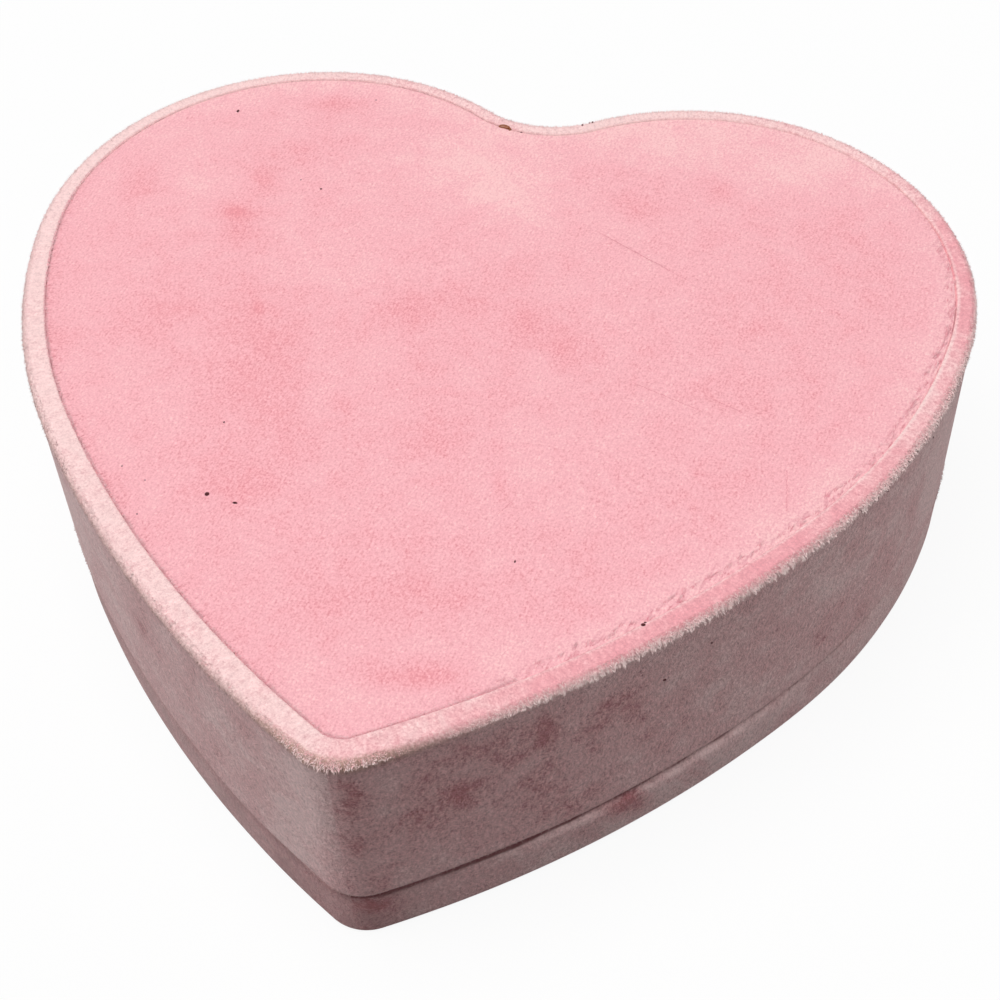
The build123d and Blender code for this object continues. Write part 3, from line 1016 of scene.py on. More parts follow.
def lumps(name, places, sizes, flatness, body):
    """Flattened spheres: place + size * (sin p cos a, sin p sin a, flatness cos p), stretched at random."""
    polar = (np.pi * (np.arange(LUMP_ROWS) + 1) / (LUMP_ROWS + 1))[:, None]
    turn = 2 * np.pi * np.arange(LUMP_COLUMNS) / LUMP_COLUMNS
    ball = np.stack([np.sin(polar) * np.cos(turn), np.sin(polar) * np.sin(turn), np.cos(polar) + 0 * turn], 2)
    ball = np.concatenate([ball.reshape(-1, 3), [[0, 0, 1], [0, 0, -1]]])
    count = len(places)
    stretch = np.column_stack([rng.uniform(0.6, 1.5, (count, 2)), np.full(count, flatness)])
    points = places[:, None] + ball * (sizes[:, None] * stretch)[:, None]
    row, column = grid_faces(LUMP_ROWS, LUMP_COLUMNS, ring=False)
    quads = np.roll((row * LUMP_COLUMNS + column % LUMP_COLUMNS)[:, ::-1], 1, axis=1)
    last = LUMP_ROWS * LUMP_COLUMNS
    i = np.arange(LUMP_COLUMNS)
    k = (i + 1) % LUMP_COLUMNS
    top = np.stack([i, k, np.full(LUMP_COLUMNS, last)], axis=1)
    low = np.stack([k, i, np.full(LUMP_COLUMNS, LUMP_COLUMNS + 1)], axis=1) + last - LUMP_COLUMNS
    starts = (np.arange(count) * len(ball))[:, None]
    faces = [row for face in [*quads, *top, *low] for row in (starts + face).tolist()]
    return finish_mesh(name, points, faces, body)


def nearest(pixels, points):
    """The points that fall nearest to photograph pixels."""
    gaps = np.linalg.norm(to_pixels(points)[None] - np.asarray(pixels, float)[:, None], axis=2)
    return points[gaps.argmin(axis=1)]


def faces_camera(grid):
    """Whether the points of a wall's grid face the camera."""
    return ((EYE[:2] - grid[..., :2]) * outward).sum(axis=2) > 0


wall_grid = lid_grid[lid_outside]
wall_points = wall_grid[faces_camera(wall_grid)]
on_rim = (lid_section[:, 1] > box_top - RIM_DROP) & (lid_section[:, 0] < rim_width)
rim_points = lid_grid[on_rim].reshape(-1, 3)
lint_places = np.concatenate([
    nearest(LINT["large"][1], rim_points),
    on_panel(LINT["dark"][1]),
    on_panel(LINT["small"][1]),
    nearest(LINT["rim"][1], rim_points),
    nearest(LINT["wall"][1], wall_points),
])
lint_sizes = np.concatenate([np.full(len(pixels), size * MM) for size, pixels in LINT.values()])
lint = lumps("lint", lint_places, lint_sizes, LINT_FLATNESS, "lid")
glue = lumps("glue_bead", on_level(GLUE_PIXELS, panel_top), GLUE_SIZES, GLUE_FLATNESS, "lid")

# %% [markdown]
# ## Shader arithmetic
#
# A finish is a small calculation made at each point of a surface. Wired by hand in the node editor it
# becomes a web, so one class wraps a socket and lets us write the calculation as ordinary Python: an
# operator between two wires adds a Math node, and one method adds any other node.

# %% Wires


class Wire:
    """A socket of a shader. +, - and * between wires and numbers add Math nodes."""

    def __init__(self, tree, socket=None):
        self.tree = tree
        self.socket = socket

    def plug(self, sockets, values):
        """Give each of some sockets a value, or a link where the value is a wire."""
        for key, value in values.items():
            if isinstance(value, Wire):
                self.tree.links.new(value.socket, sockets[key])
            else:
                sockets[key].default_value = value

    def node(self, kind, inputs, output=0, **settings):
        """Add a node of a kind: its settings first, then a value or a wire for each of its sockets."""
        made = self.tree.nodes.new("ShaderNode" + kind)
        for key, value in settings.items():
            setattr(made, key, value)
        self.plug(made.inputs, inputs)
        return Wire(self.tree, made.outputs[output])

    def math(self, operation, *values):
        """Add a Math node for an operation on wires or numbers."""
        return self.node("Math", dict(enumerate(values)), operation=operation)

    def __add__(self, other):
        return self.math("ADD", self, other)

    def __sub__(self, other):
        return self.math("SUBTRACT", self, other)

    def __rsub__(self, other):
        return self.math("SUBTRACT", other, self)

    def __mul__(self, other):
        return self.math("MULTIPLY", self, other)

    __radd__ = __add__
    __rmul__ = __mul__


def colour(red, green, blue):
    """A colour as it looks on a screen, 0 to 255, in the linear numbers that a shader takes."""
    share = np.array([red, green, blue]) / 255
    linear = np.where(share <= 0.04045, share / 12.92, ((share + 0.055) / 1.055) ** 2.4)
    return (*linear.tolist(), 1.0)


def new_finish(name):
    """An empty material, its shader, a wire to start calculations from, and one that holds the place."""
    material = bpy.data.materials.new(name)
    material.use_nodes = True
    start = Wire(material.node_tree)
    place = start.node("TexCoord", {}, output="Object")
    return material, material.node_tree.nodes["Principled BSDF"], start, place


def stored(start, *names):
    """The numbers stored on the points of a piece, one wire for each name."""
    return [start.node("Attribute", {}, output="Fac", attribute_name=name) for name in names]


def noise(start, vector, scale, detail=2.0, roughness=0.5, distortion=0.0):
    """Cloudy noise, 0 to 1, whose blobs are about 1 / scale across."""
    return start.node("TexNoise", {
        "Vector": vector, "Scale": scale, "Detail": detail, "Roughness": roughness, "Distortion": distortion,
    })


def ramp(value, low, high):
    """0 below low, 1 above high, and a smooth step between."""
    limits = {"Value": value, "From Min": low, "From Max": high}
    return value.node("MapRange", limits, interpolation_type="SMOOTHSTEP")


def blend(factor, first, second):
    """The first colour where the factor is 0, the second where it is 1."""
    return factor.node("Mix", {0: factor, 6: first, 7: second}, output=2, data_type="RGBA")


def scaled(tint, factor):
    """A colour made lighter or darker by a factor."""
    return factor.node("VectorMath", {0: tint, "Scale": factor}, operation="SCALE")


def strokes_along(start, vector, turn, scale):
    """Noise on coordinates that are turned about +Z and then stretched, so that it runs in one direction."""
    turned = start.node("Mapping", {"Vector": vector, "Rotation": (0, 0, turn)})
    return noise(start, start.node("VectorMath", {0: turned, 1: scale}, operation="MULTIPLY"), 1.0, detail=2)


def raised(start, height, depth, strength):
    """The normal of a surface that a height raises by up to a depth."""
    return start.node("Bump", {"Height": height, "Distance": depth, "Strength": strength})


print("colour check:", [round(c, 3) for c in colour(248, 180, 187)])

# %% [markdown]
# ## Velvet
#
# Velvet is dark where we look into the pile and pale where we look along it, which the shader's sheen
# gives. On top of that a hand leaves its marks: where the pile is brushed one way it looks pale, and
# the other way deep, in soft patches. Close to, the tips of the pile show as a fine grain, and the brushing
# as short strokes. So the colour is a blend of a deep, a plain and a pale pink, steered by noise at four
# sizes.

# %% Velvet finishes
SHEEN = {
    "Sheen Weight": 0.35,
    "Sheen Roughness": 0.45,
    "Sheen Tint": colour(255, 240, 238),
    "Specular IOR Level": 0.15,
}
NAP_TURN = math.radians(-81)
VELVET_ROUGH, TUFT_ROUGH = 0.92, 0.9
PANEL_RELIEF, WALL_RELIEF = 0.4 * MM, 0.5 * MM


def panel_finish(name, deep, plain, pale):
    """Velvet of a flat face: patches, mottling, grain, and strokes along the nap. Near its edge the pile lies
    in darker strokes, across the edge on the left and aslant on the right flank: partly its own texture,
    partly painted shade between its clumps."""
    material, shader, start, place = new_finish(name)
    cloth = start.node("UVMap", {}, uv_map="cloth")
    nap, hatch_and_shade, comb_and_shade = stored(start, "nap", "hatch_and_shade", "comb_and_shade")
    cloud = noise(start, place, 26, detail=3, roughness=0.55)
    mottle = noise(start, place, 150, detail=4, roughness=0.62, distortion=0.4)
    grain = noise(start, place, 2200, detail=1.5, roughness=0.55, distortion=0.6)
    strokes = strokes_along(start, place, NAP_TURN, (900.0, 2400.0, 900.0))
    aslant = strokes_along(start, place, -CREST_HEADING, (300.0, 1300.0, 300.0))
    across = strokes_along(start, cloth, 0.0, (1900.0, 420.0, 1.0))
    speck = grain * 0.6 + strokes * 0.4 - 0.5
    # Darker strokes by the groove: partly the pile's texture, partly painted shade between clumps.
    combed_and_shade = ramp(aslant, 0.5, 0.68) * hatch_and_shade + ramp(across, 0.5, 0.68) * comb_and_shade
    tone = cloud * 0.25 + mottle * 0.6 + nap * (0.6 + mottle * 0.8) - speck * 1.6 - combed_and_shade * 0.5 + 0.07
    base = blend(ramp(tone, 0.5, 0.95), blend(ramp(tone, 0.0, 0.55), deep, plain), pale)
    base = scaled(base, 1 - speck * 0.55 - combed_and_shade * 0.18)
    normal = raised(start, mottle * 0.7 - speck * 0.8 - combed_and_shade * 0.6, PANEL_RELIEF, 0.4)
    start.plug(shader.inputs, {"Base Color": base, "Roughness": VELVET_ROUGH, "Normal": normal, **SHEEN})
    return material


def wall_finish(name, deep, plain, pale, rim_pale, rim_deep, rim_dull, shadow):
    """Velvet of a wall: the same pile, running up and down, with a rim that is paler or deeper in painted
    light and shade and duller down its fold. A painted shadow darkens it where the lid's edge meets the base."""
    material, shader, start, place = new_finish(name)
    cloth = start.node("UVMap", {}, uv_map="cloth")
    rim, light, dull, nap, painted_shadow = stored(start, "rim", "light", "dull", "nap", "painted_shadow")
    cloud = noise(start, place, 44, detail=3, roughness=0.6)
    mottle = noise(start, place, 170, detail=4, roughness=0.65, distortion=0.5)
    grain = noise(start, place, 2300, detail=1.5, roughness=0.6, distortion=0.8)
    ribs = strokes_along(start, cloth, 0.0, (1200.0, 700.0, 1.0))
    speck = grain * 0.6 + ribs * 0.4 - 0.5
    tone = cloud * 1.4 + mottle * 1.1 + nap - speck * 1.4 - 0.75
    wall = blend(ramp(tone, 0.5, 1.0), blend(ramp(tone, -0.1, 0.5), deep, plain), pale)
    # The rim's colour runs from deep to pale with its painted light, then turns greyer down the fold.
    roll = blend(ramp(light + (mottle - 0.5) * 0.9 - speck * 1.4, 0.0, 1.0), rim_deep, rim_pale)
    roll = blend(ramp(dull + (grain - 0.5) * 1.6 * dull, 0.0, 1.0), roll, rim_dull)
    base = scaled(blend(rim, wall, roll), 1 - speck * (1.6 - rim * 0.8))
    # Painted shadow: the wall goes towards the shadow colour where the lid's edge meets the base.
    base = blend(ramp(painted_shadow + (mottle - 0.5) * 1.6 * painted_shadow, 0.0, 1.0), base, shadow)
    normal = raised(start, (mottle * 0.6 - speck * 1.2) * (1 - rim * 0.6), WALL_RELIEF, 0.7)
    start.plug(shader.inputs, {"Base Color": base, "Roughness": VELVET_ROUGH, "Normal": normal, **SHEEN})
    return material


def tuft_finish(name, dull, bright):
    """Pile tips: each tuft has its own place between a dull and a bright tint."""
    material, shader, start, place = new_finish(name)
    (shade,) = stored(start, "shade")
    mottle = noise(start, place, 500, detail=2)
    base = blend(ramp(shade + (mottle - 0.5) * 0.4, 0.0, 1.0), dull, bright)
    start.plug(shader.inputs, {"Base Color": base, "Roughness": TUFT_ROUGH, **SHEEN})
    return material


def dress(material, *pieces):
    """Give some pieces one finish."""
    for piece in pieces:
        piece.data.materials.clear()
        piece.data.materials.append(material)


PANEL_PINKS = (colour(243, 155, 163), colour(251, 184, 192), colour(254, 202, 203))
# Though the walls are the same cloth as the panel, their pinks are greyer and duskier: painted shade and
# sheen. Then come the rim's pale, deep and dull colours, and the colour of the painted shadow.
wall_pink = wall_finish(
    "wall_pile",
    colour(190, 120, 124), colour(224, 177, 178), colour(234, 199, 198),
    colour(252, 217, 215), colour(242, 167, 175), colour(202, 164, 152),
    colour(136, 84, 86),
)
dress(panel_finish("panel_pile", *PANEL_PINKS), panel_velvet)
dress(panel_finish("floor_pile", *PANEL_PINKS), floor_velvet)
dress(wall_pink, lid_velvet, base_velvet, rim_pile)
dress(tuft_finish("tuft_pile", colour(240, 176, 180), colour(255, 232, 228)), rim_tufts)
dress(tuft_finish("feather_pile", colour(232, 146, 158), colour(253, 206, 209)), feathers)
dress(tuft_finish("fuzz_pile", colour(204, 156, 156), colour(232, 198, 194)), lid_fuzz, base_fuzz)
print("velvet finishes:", len(bpy.data.materials))

# %% [markdown]
# ## Where the pile was brushed, and where sheen is painted
#
# The larger marks are in known places, so they are stored on the points of the cloth: soft oval patches, each
# under a pixel of the photograph. Most are the pile's own tone, but the tall pale patches at the wall's far
# left and far right, and left of the tip, are painted sheen. A row gives its pixel, its two radii in pixels
# and its depth, below 0 where the pile looks deep and above 0 where it looks pale.

# %% Patches
PANEL_PATCHES = [
    (237, 212, 17, 8, -0.42), (241, 233, 20, 16, -0.2), (263, 178, 12, 22, -0.2), (292, 153, 26, 10, -0.15),
    (335, 103, 36, 8, -0.2), (140, 185, 22, 15, -0.2), (150, 240, 70, 30, -0.06), (147, 315, 34, 30, -0.15),
    (258, 307, 8, 8, -0.25), (215, 305, 60, 20, -0.1), (275, 340, 48, 34, -0.15), (240, 380, 52, 34, -0.16),
    (272, 430, 38, 44, -0.15), (240, 492, 44, 28, -0.17), (400, 312, 42, 24, -0.15),
    (462, 298, 46, 18, -0.15), (528, 328, 30, 18, -0.18), (562, 350, 17, 22, -0.24), (645, 210, 32, 14, -0.2),
    (716, 190, 19, 12, -0.18), (762, 206, 20, 10, -0.1), (830, 290, 80, 50, -0.06), (437, 443, 34, 24, -0.15),
    (500, 486, 11, 19, -0.17), (345, 403, 11, 17, -0.12), (737, 490, 42, 26, -0.08), (592, 542, 28, 12, -0.1),
    (360, 541, 76, 9, -0.1), (390, 606, 116, 34, -0.16), (430, 592, 50, 18, -0.1), (414, 677, 64, 12, -0.36),
    (590, 612, 50, 20, -0.08), (450, 160, 55, 30, 0.32), (515, 200, 40, 30, 0.3), (790, 178, 60, 26, 0.28),
    (680, 150, 80, 24, 0.2), (192, 180, 26, 30, 0.16), (545, 470, 80, 55, 0.08), (340, 270, 60, 26, 0.1),
    (470, 640, 70, 18, 0.1), (330, 700, 50, 28, 0.14),
]
# The tall pale patches at (80, 520), (298, 810) and (940, 500) are painted sheen where the wall turns away
# from view.
WALL_PATCHES_AND_SHEEN = [
    (425, 824, 32, 34, -0.3), (470, 797, 26, 15, -0.18), (385, 882, 32, 15, -0.18), (350, 800, 14, 30, -0.12),
    (385, 812, 18, 5, 0.35), (546, 735, 8, 30, -0.16), (545, 800, 8, 14, -0.16), (668, 752, 12, 6, -0.2),
    (560, 760, 26, 26, 0.1), (700, 690, 40, 30, 0.08), (912, 512, 6, 15, -0.25), (887, 566, 6, 10, -0.2),
    (876, 606, 13, 14, -0.1), (482, 838, 34, 18, -0.25), (858, 588, 22, 18, 0.18), (620, 722, 44, 30, -0.14),
    (830, 640, 18, 10, -0.22), (940, 500, 18, 70, 0.3), (145, 625, 11, 28, -0.22), (190, 672, 11, 28, -0.22),
    (80, 520, 26, 70, 0.35), (215, 700, 16, 30, 0.1), (298, 810, 24, 60, 0.35),
]
BASE_PATCHES = [
    (634, 797, 20, 11, -0.72), (616, 809, 24, 9, -0.5), (680, 772, 60, 16, -0.2), (583, 823, 10, 5, 0.3),
    (673, 772, 12, 5, 0.3), (717, 760, 12, 5, 0.3), (590, 836, 10, 4, -0.2), (700, 775, 8, 4, -0.2),
    (380, 905, 20, 10, -0.25),
]


def patches(grid, rows):
    """The sum of soft oval patches under some pixels: depth * exp(-(distance / radius) ** 2)."""
    pixels = to_pixels(grid)
    total = np.zeros(grid.shape[:2])
    for x, y, wide, tall, depth in rows:
        gaps = (pixels - np.array([x, y])) / np.array([wide, tall])
        total += depth * np.exp(-(gaps**2).sum(axis=2))
    return total


panel_patches = patches(panel_grid, PANEL_PATCHES)
lid_patches_and_sheen = patches(lid_grid, WALL_PATCHES_AND_SHEEN) * faces_camera(lid_grid)
base_patches = patches(base_grid, BASE_PATCHES) * faces_camera(base_grid)
print("patches:", len(PANEL_PATCHES), "on the panel,", len(WALL_PATCHES_AND_SHEEN) + len(BASE_PATCHES), "on the walls")

# %% [markdown]
# Along the groove the panel's pile is combed in short darker strokes, aslant on the right flank and straight
# inwards on the left: partly its texture, partly painted shade between clumps. Beside the groove on the left
# it is a little darker, painted shade. It is paler on that flank and at the back.

# %% Marks on the panel
COMBED_WIDTH = 3.2 * MM
PALE_WIDTH = 7 * MM

on_top = panel_grid[..., 2] > panel_top - 2 * PANEL_ROUND
edge_share = np.clip(1 - edge_gap / COMBED_WIDTH, 0, 1) * on_top
pale_share = hump(edge_gap, 0, PALE_WIDTH) * on_top
backwards = np.clip(outward[:, 1], 0, 1)
leftwards = np.clip(-1.2 * outward[:, 0], 0, 1) * np.clip(1 - 2 * backwards, 0, 1)
# Painted shade: a little darker beside the groove on the left.
edge_nap_and_shade = 0.22 * pale_share * np.maximum(flank, backwards) - 0.06 * edge_share * leftwards
mark(panel_velvet, "nap", panel_patches + edge_nap_and_shade)
mark(panel_velvet, "hatch_and_shade", edge_share * flank)
mark(panel_velvet, "comb_and_shade", 0.6 * edge_share * leftwards)
for blank in ("nap", "hatch_and_shade", "comb_and_shade"):
    mark(floor_velvet, blank, np.zeros(1))

# %% [markdown]
# The rim is painted palest on the left, where it faces the light, and deeper on the flank, which turns from
# it: painted light and shade over the pile's own tone. It is greyer down the fold, most round the tip.
# The same three numbers are worked out for the rim's cloth and for its spikes.

# %% Marks on the lid's wall
RIM_END, RIM_FADE = 2.5 * MM, 0.8 * MM
LIGHT_FROM, LIGHT_OVER = 0.9 * MM, 1.2 * MM
CREST_FOLD, CREST_SPAN = RIM_OUTER_ROUND + LIP_SLOPE - rim_width, 0.4 * MM
DULL_REACH = 1.3 * TIP_REACH
SHEEN_RIGHT_FROM, SHEEN_RIGHT_OVER = 60 * MM, 80 * MM
HEM_SHADE = 0.5 * MM


def rim_at(fold):
    """1 on the rim, and 0 on the wall below its fold."""
    return 1 - rising(fold, RIM_END, RIM_FADE)


def painted_light_at(normals, flank_share, fold):
    """Painted light and shade on the rim, over its pile's own tone: palest on the left, which faces the
    light, less at the back, and more again at the right end where it faces forwards. It is a little deeper
    where that end turns to the back, and deepest on the flank, which turns from the light, except along the
    flank's lower edge, where painted light stands for the lit tips of the pile, and along its crest beside
    the panel, where a highlight is painted."""
    x, y = normals[..., 0], normals[..., 1]
    low = rising(fold, LIGHT_FROM, LIGHT_OVER)
    crest = hump(fold, CREST_FOLD, CREST_SPAN)
    plain = 0.55 + 0.4 * np.clip(-x, 0, 1) + 0.25 * np.clip(y, 0, 1)
    end = 0.5 * np.clip(5 * x - 4, 0, 1) * np.clip(-3 * y, 0, 1)
    turning = 0.3 * np.clip(x + y - 1, 0, 0.4)
    return plain + end - turning - flank_share * (0.42 - 0.85 * low - 0.42 * crest)


def dull_at(way, normals, fold):
    """How grey the pile is, only down the fold: most round the tip, least at the back and on the flank."""
    tip = hump(from_tip(way), 0, DULL_REACH)
    forwards = np.clip(0.5 - normals[..., 1], 0, 1) * (1 - 0.75 * along_flank(way))
    low = rising(fold, (0.4 - 0.8 * tip) * MM, (2.2 - 0.5 * tip) * MM)
    return low * (0.05 + 0.45 * forwards + 0.9 * tip)


everywhere = np.ones(len(along))
lid_fold = fold_of_rows[:, None]
# Painted sheen: the walls of lid and base are painted paler towards the right.
painted_sheen_right = 0.2 * rising(along, SHEEN_RIGHT_FROM, SHEEN_RIGHT_OVER)
mark(lid_velvet, "rim", rim_at(lid_fold) * everywhere)
mark(lid_velvet, "light", painted_light_at(outward, flank, lid_fold))
mark(lid_velvet, "dull", dull_at(along, outward, lid_fold))
mark(lid_velvet, "nap", lid_patches_and_sheen + painted_sheen_right)
# Painted shade: the lid's lowest half millimetre is darker.
mark(lid_velvet, "painted_shadow", np.clip(1 - (lid_section[:, 1:] - lid_bottom) / HEM_SHADE, 0, 1) * everywhere)
# The spikes get the rim's painted light and shade as well.
spike_facing = at_way(spike_way)[1]
pile_painted_light = painted_light_at(spike_facing, along_flank(spike_way), spike_fold)
pile_painted_light += rng.normal(scale=0.2, size=RIM_SPIKES)
pile_dull = dull_at(spike_way, spike_facing, spike_fold) * rng.uniform(0.4, 1.6, RIM_SPIKES)
for name, values in (("rim", rim_at(spike_fold)), ("light", pile_painted_light), ("dull", pile_dull)):
    mark(rim_pile, name, np.repeat(values, len(SPIKE_SHARES)))

# %% [markdown]
# Under the lid's edge a painted shadow makes a dark line, broadest near the tip and faint further on. Below
# it, on the right, the band's own roll is painted pale in streaks, a painted highlight, and on the left and
# at the tip painted shade makes the band deeper than the lid.

# %% Marks on the base
TIP_SHADE = 18 * MM
LINE_WIDTH, LINE_EASE = 1.1 * MM, 0.5 * MM
BROAD_WIDTH, BROAD_AT, BROAD_REACH = 0.8 * MM, 22 * MM, 18 * MM
FAINT_FROM, FAINT_OVER = 60 * MM, 60 * MM
LINE_WAVE, LINE_WAVE_LENGTH = 0.12 * MM, 11 * MM
ROLL_NARROWS = 0.3 * MM
LEDGE_EASE = 0.3 * MM
ROLL_AT, ROLL_SPAN = 1.8 * MM, 1.0 * MM
TIP_FADE = 20 * MM
FAINT_WAVE, MOTTLE_LONG, MOTTLE_SHORT, STREAK_LENGTH = 9 * MM, 9 * MM, 5 * MM, 6 * MM

left_share = rising(along, perimeter / 2, CLEFT_FADE) * rising(along, perimeter, -TIP_FADE)
tip_share = hump(from_tip(along), 0, TIP_SHADE)
right_share = (along < perimeter / 2) * (1 - tip_share)
line_width = LINE_WIDTH + BROAD_WIDTH * hump(along, BROAD_AT, BROAD_REACH)
line_width = line_width + LINE_WAVE * wander(along, LINE_WAVE_LENGTH) - ROLL_NARROWS * roll_along
line_depth = 0.9 - 0.35 * rising(along, FAINT_FROM, FAINT_OVER) + 0.12 * wander(along, FAINT_WAVE)
# The painted shadow of the seam: a dark line just under the lid's edge, kept faint on the ledge.
painted_seam_shadow = rising(base_drop, line_width + LINE_EASE / 2, -LINE_EASE) * np.clip(line_depth, 0, 1)
painted_seam_shadow = painted_seam_shadow * np.clip(base_drop / LEDGE_EASE, 0.3, 1)
# Painted shade: the band is darker on the left and at the tip, both here and in its nap below. The nap also
# carries the painted sheen on the right.
painted_seam_shadow = np.maximum(painted_seam_shadow, 0.4 * left_share + 0.4 * tip_share)
base_nap_and_painted_light = base_patches + painted_sheen_right + 0.2 - 0.25 * left_share - 0.5 * tip_share
mottling = wander(along + 1.5 * base_drop, MOTTLE_LONG) * wander(along - 2 * base_drop, MOTTLE_SHORT)
# Painted highlight: the band's roll below the line is painted pale in streaks on the right, where it also
# stands out and catches real light.
roll_highlight_streaks = np.clip(0.8 + 0.6 * wander(along - base_drop, STREAK_LENGTH), 0, 1)
roll_share = hump(base_drop, ROLL_AT, ROLL_SPAN) * roll_along
mark(base_velvet, "nap", base_nap_and_painted_light + 0.25 * right_share * mottling)
mark(base_velvet, "rim", roll_highlight_streaks * roll_share * np.clip(1 + 1.6 * base_patches, 0, 1))
mark(base_velvet, "light", 0.9 * everywhere * np.ones((len(base_section), 1)))
mark(base_velvet, "painted_shadow", painted_seam_shadow)
print("marks on the base:", [each.name for each in base_velvet.data.attributes if each.data_type == "FLOAT"])

# %% [markdown]
# ## Board, card, paper, tape and padding
#
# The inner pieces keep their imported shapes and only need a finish. Greyboard is pressed from waste paper,
# so it is grey-brown with flecks. The lining is a smooth blush paper with a faint fibre. The tape is brown
# and glossy, the card underneath is a dull rose, and the padding is off-white. A row gives the colours of the
# ground and of the flecks, and the flecks' scale, contrast, roughness and stretch along the fibre.

# %% Inner finishes
FIBRE_TURN = 0.3
FLECK_RELIEF = 0.1 * MM
FINISHES = {
    "greyboard": ((158, 148, 136), (96, 86, 78), 900, 0.7, 0.85, 1.0),
    "lining_paper": ((244, 226, 222), (228, 198, 196), 500, 0.5, 0.6, 3.0),
    "gummed_tape": ((176, 132, 88), (140, 98, 60), 600, 0.6, 0.4, 4.0),
    "cover_card": ((214, 170, 170), (188, 140, 142), 800, 0.5, 0.75, 1.0),
    "wadding": ((242, 238, 230), (218, 212, 202), 700, 0.6, 0.95, 1.0),
    "foam": ((236, 226, 196), (206, 190, 150), 1400, 0.7, 0.95, 1.0),
    "lint": ((84, 30, 34), (40, 14, 16), 3000, 0.8, 0.9, 1.0),
    "dried_glue": ((150, 78, 30), (96, 44, 14), 1500, 0.8, 0.35, 1.0),
}


def fleck_finish(name, ground, fleck, scale, contrast, rough, fibre):
    """A pressed sheet: a ground colour, clouds of a second one, and fine flecks that follow a fibre."""
    material, shader, start, place = new_finish(name)
    turned = start.node("Mapping", {"Vector": place, "Rotation": (0, 0, FIBRE_TURN)})
    drawn = start.node("VectorMath", {0: turned, 1: (1.0, fibre, 1.0)}, operation="MULTIPLY")
    cloud = noise(start, place, 40, detail=3)
    flecks = noise(start, drawn, scale, detail=3, roughness=0.65)
    share = ramp(flecks, 0.5, 0.75) * contrast + cloud * contrast * 0.4
    start.plug(shader.inputs, {
        "Base Color": blend(share, colour(*ground), colour(*fleck)),
        "Roughness": rough + (flecks - 0.5) * 0.2,
        "Normal": raised(start, flecks, FLECK_RELIEF, 0.3),
    })
    return material


inner = {name: fleck_finish(name, *settings) for name, settings in FINISHES.items()}
for part in frame["record"]["subparts"]:
    if part["material_slot"] in inner:
        dress(inner[part["material_slot"]], frame["nodes"][part["node"]])
for name, piece in (("wadding", wadding), ("foam", foam), ("lint", lint), ("dried_glue", glue)):
    dress(inner[name], piece)
print("finishes:", len(bpy.data.materials))

# %% [markdown]
# ## The cloths' flat sizes
#
# The size that each cloth was cut to is worked out and printed. A wall's strip is as long as the outline, and
# as wide as half of its closed section. A panel's piece is the heart with its edge and its turn-under added.

# %% Sheets


def flat_area(inset):
    """The area inside the outline at an inset, from the sum of x dy - y dx."""
    ring = carry(np.array([[inset, 0.0]]))[0]
    after = np.roll(ring, -1, axis=0)
    return float((ring[:, 0] * after[:, 1] - ring[:, 1] * after[:, 0]).sum() / 2)


def strip_size(section):
    """Length and width of a strip: the outline, and half of the way round its section."""
    return perimeter, float(run_length(np.concatenate([section, section[:1]]))[-1] / 2)


def wrap_size(node):
    """Width and length of a wrapped cloth, and its area: the heart, its edge and its turn-under."""
    low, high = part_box(node)
    added = high.z - low.z + TURN_UNDER
    area = flat_area(inset_of(node)) + perimeter * added
    return (high.x - low.x + 2 * added, high.y - low.y + 2 * added), area


panel_flat, panel_area = wrap_size("panel_velvet")
floor_flat, floor_area = wrap_size("floor_velvet")
print("strips:", strip_size(lid_section), strip_size(base_section))
print("panels:", panel_flat, panel_area, floor_flat, floor_area)

# %% [markdown]
# ## Floor and light
#
# The photograph shows the box on plain white, lit softly from nearly straight above, so that its walls
# are dusky. A weak lamp stands low on either side. The floor is white to the camera but dim to the light
# that bounces, and it still takes a faint shadow. The world is white to the camera and a low even light to
# everything else. A lamp's row gives its direction, distance, size and power.

# %% Stage
FLOOR_HALF = 3.0
FLOOR_BOUNCE = 0.25
FLOOR_WHITE = 0.9
FLOOR_GLOW = 0.92
WORLD_LIGHT = 0.2
LAMPS = {
    "key": ((-0.16, -0.08, 0.9), 2.2, 1.6, 38.2),
    "right": ((0.88, 0.45, 0.17), 1.6, 0.8, 7.9),
    "left": ((-0.95, -0.25, 0.17), 1.6, 0.8, 4.9),
}


def grey(share):
    """A colour of one share of red, green and blue."""
    return (share, share, share, 1.0)


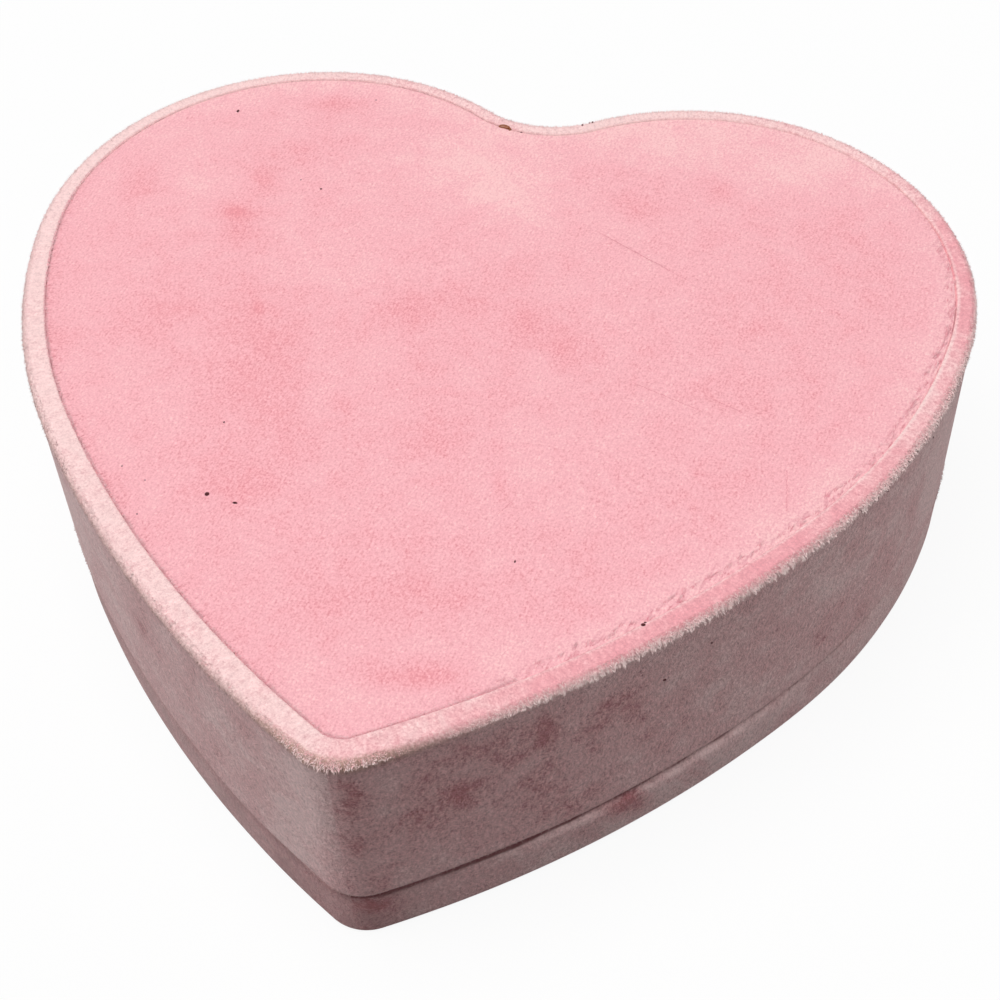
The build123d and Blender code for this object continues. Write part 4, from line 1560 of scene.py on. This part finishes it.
def seen_ray(start):
    """1 for what the camera sees, straight, in a gloss or through glass, and 0 for light that bounces."""
    kinds = ("Is Camera Ray", "Is Glossy Ray", "Is Transmission Ray")
    camera_ray, glossy, through = (start.node("LightPath", {}, output=kind) for kind in kinds)
    return start.math("MAXIMUM", camera_ray, start.math("MAXIMUM", glossy, through))


def floor_finish():
    """White with a faint shadow for rays that are seen, and a dim grey for the rest."""
    material = bpy.data.materials.new("studio_floor")
    material.use_nodes = True
    tree = material.node_tree
    tree.nodes.clear()
    start = Wire(tree)
    white = start.node("BsdfDiffuse", {"Color": grey(FLOOR_WHITE)})
    glow = start.node("Emission", {"Color": grey(1.0), "Strength": 1.0})
    dim = start.node("BsdfDiffuse", {"Color": grey(FLOOR_BOUNCE)})
    seen = start.node("MixShader", {0: FLOOR_GLOW, 1: white, 2: glow})
    both = start.node("MixShader", {0: seen_ray(start), 1: dim, 2: seen})
    start.plug(tree.nodes.new("ShaderNodeOutputMaterial").inputs, {"Surface": both})
    return material


def lamp(name, aim, distance, size, power):
    """A round soft lamp that looks at the origin from some direction."""
    data = bpy.data.lights.new(name, "AREA")
    data.shape = "DISK"
    data.size = size
    data.energy = power
    made = add(name, data)
    direction = Vector(aim).normalized()
    made.location = direction * distance
    made.rotation_mode = "QUATERNION"
    made.rotation_quaternion = direction.to_track_quat("Z", "Y")


floor_mesh = bpy.data.meshes.new("studio_floor")
corners = [(x * FLOOR_HALF, y * FLOOR_HALF, 0) for x, y in ((-1, -1), (1, -1), (1, 1), (-1, 1))]
floor_mesh.from_pydata(corners, [], [(0, 1, 2, 3)])
floor_mesh.materials.append(floor_finish())
add("studio_floor", floor_mesh)
world = bpy.data.worlds.new("studio")
world.use_nodes = True
start = Wire(world.node_tree)
sky = blend(seen_ray(start), grey(WORLD_LIGHT), grey(1.0))
start.plug(world.node_tree.nodes["Background"].inputs, {"Color": sky})
bpy.context.scene.world = world
for name, settings in LAMPS.items():
    lamp(name, *settings)
bpy.context.scene.view_settings.view_transform = "Standard"
print("lamps:", len(bpy.data.lights))
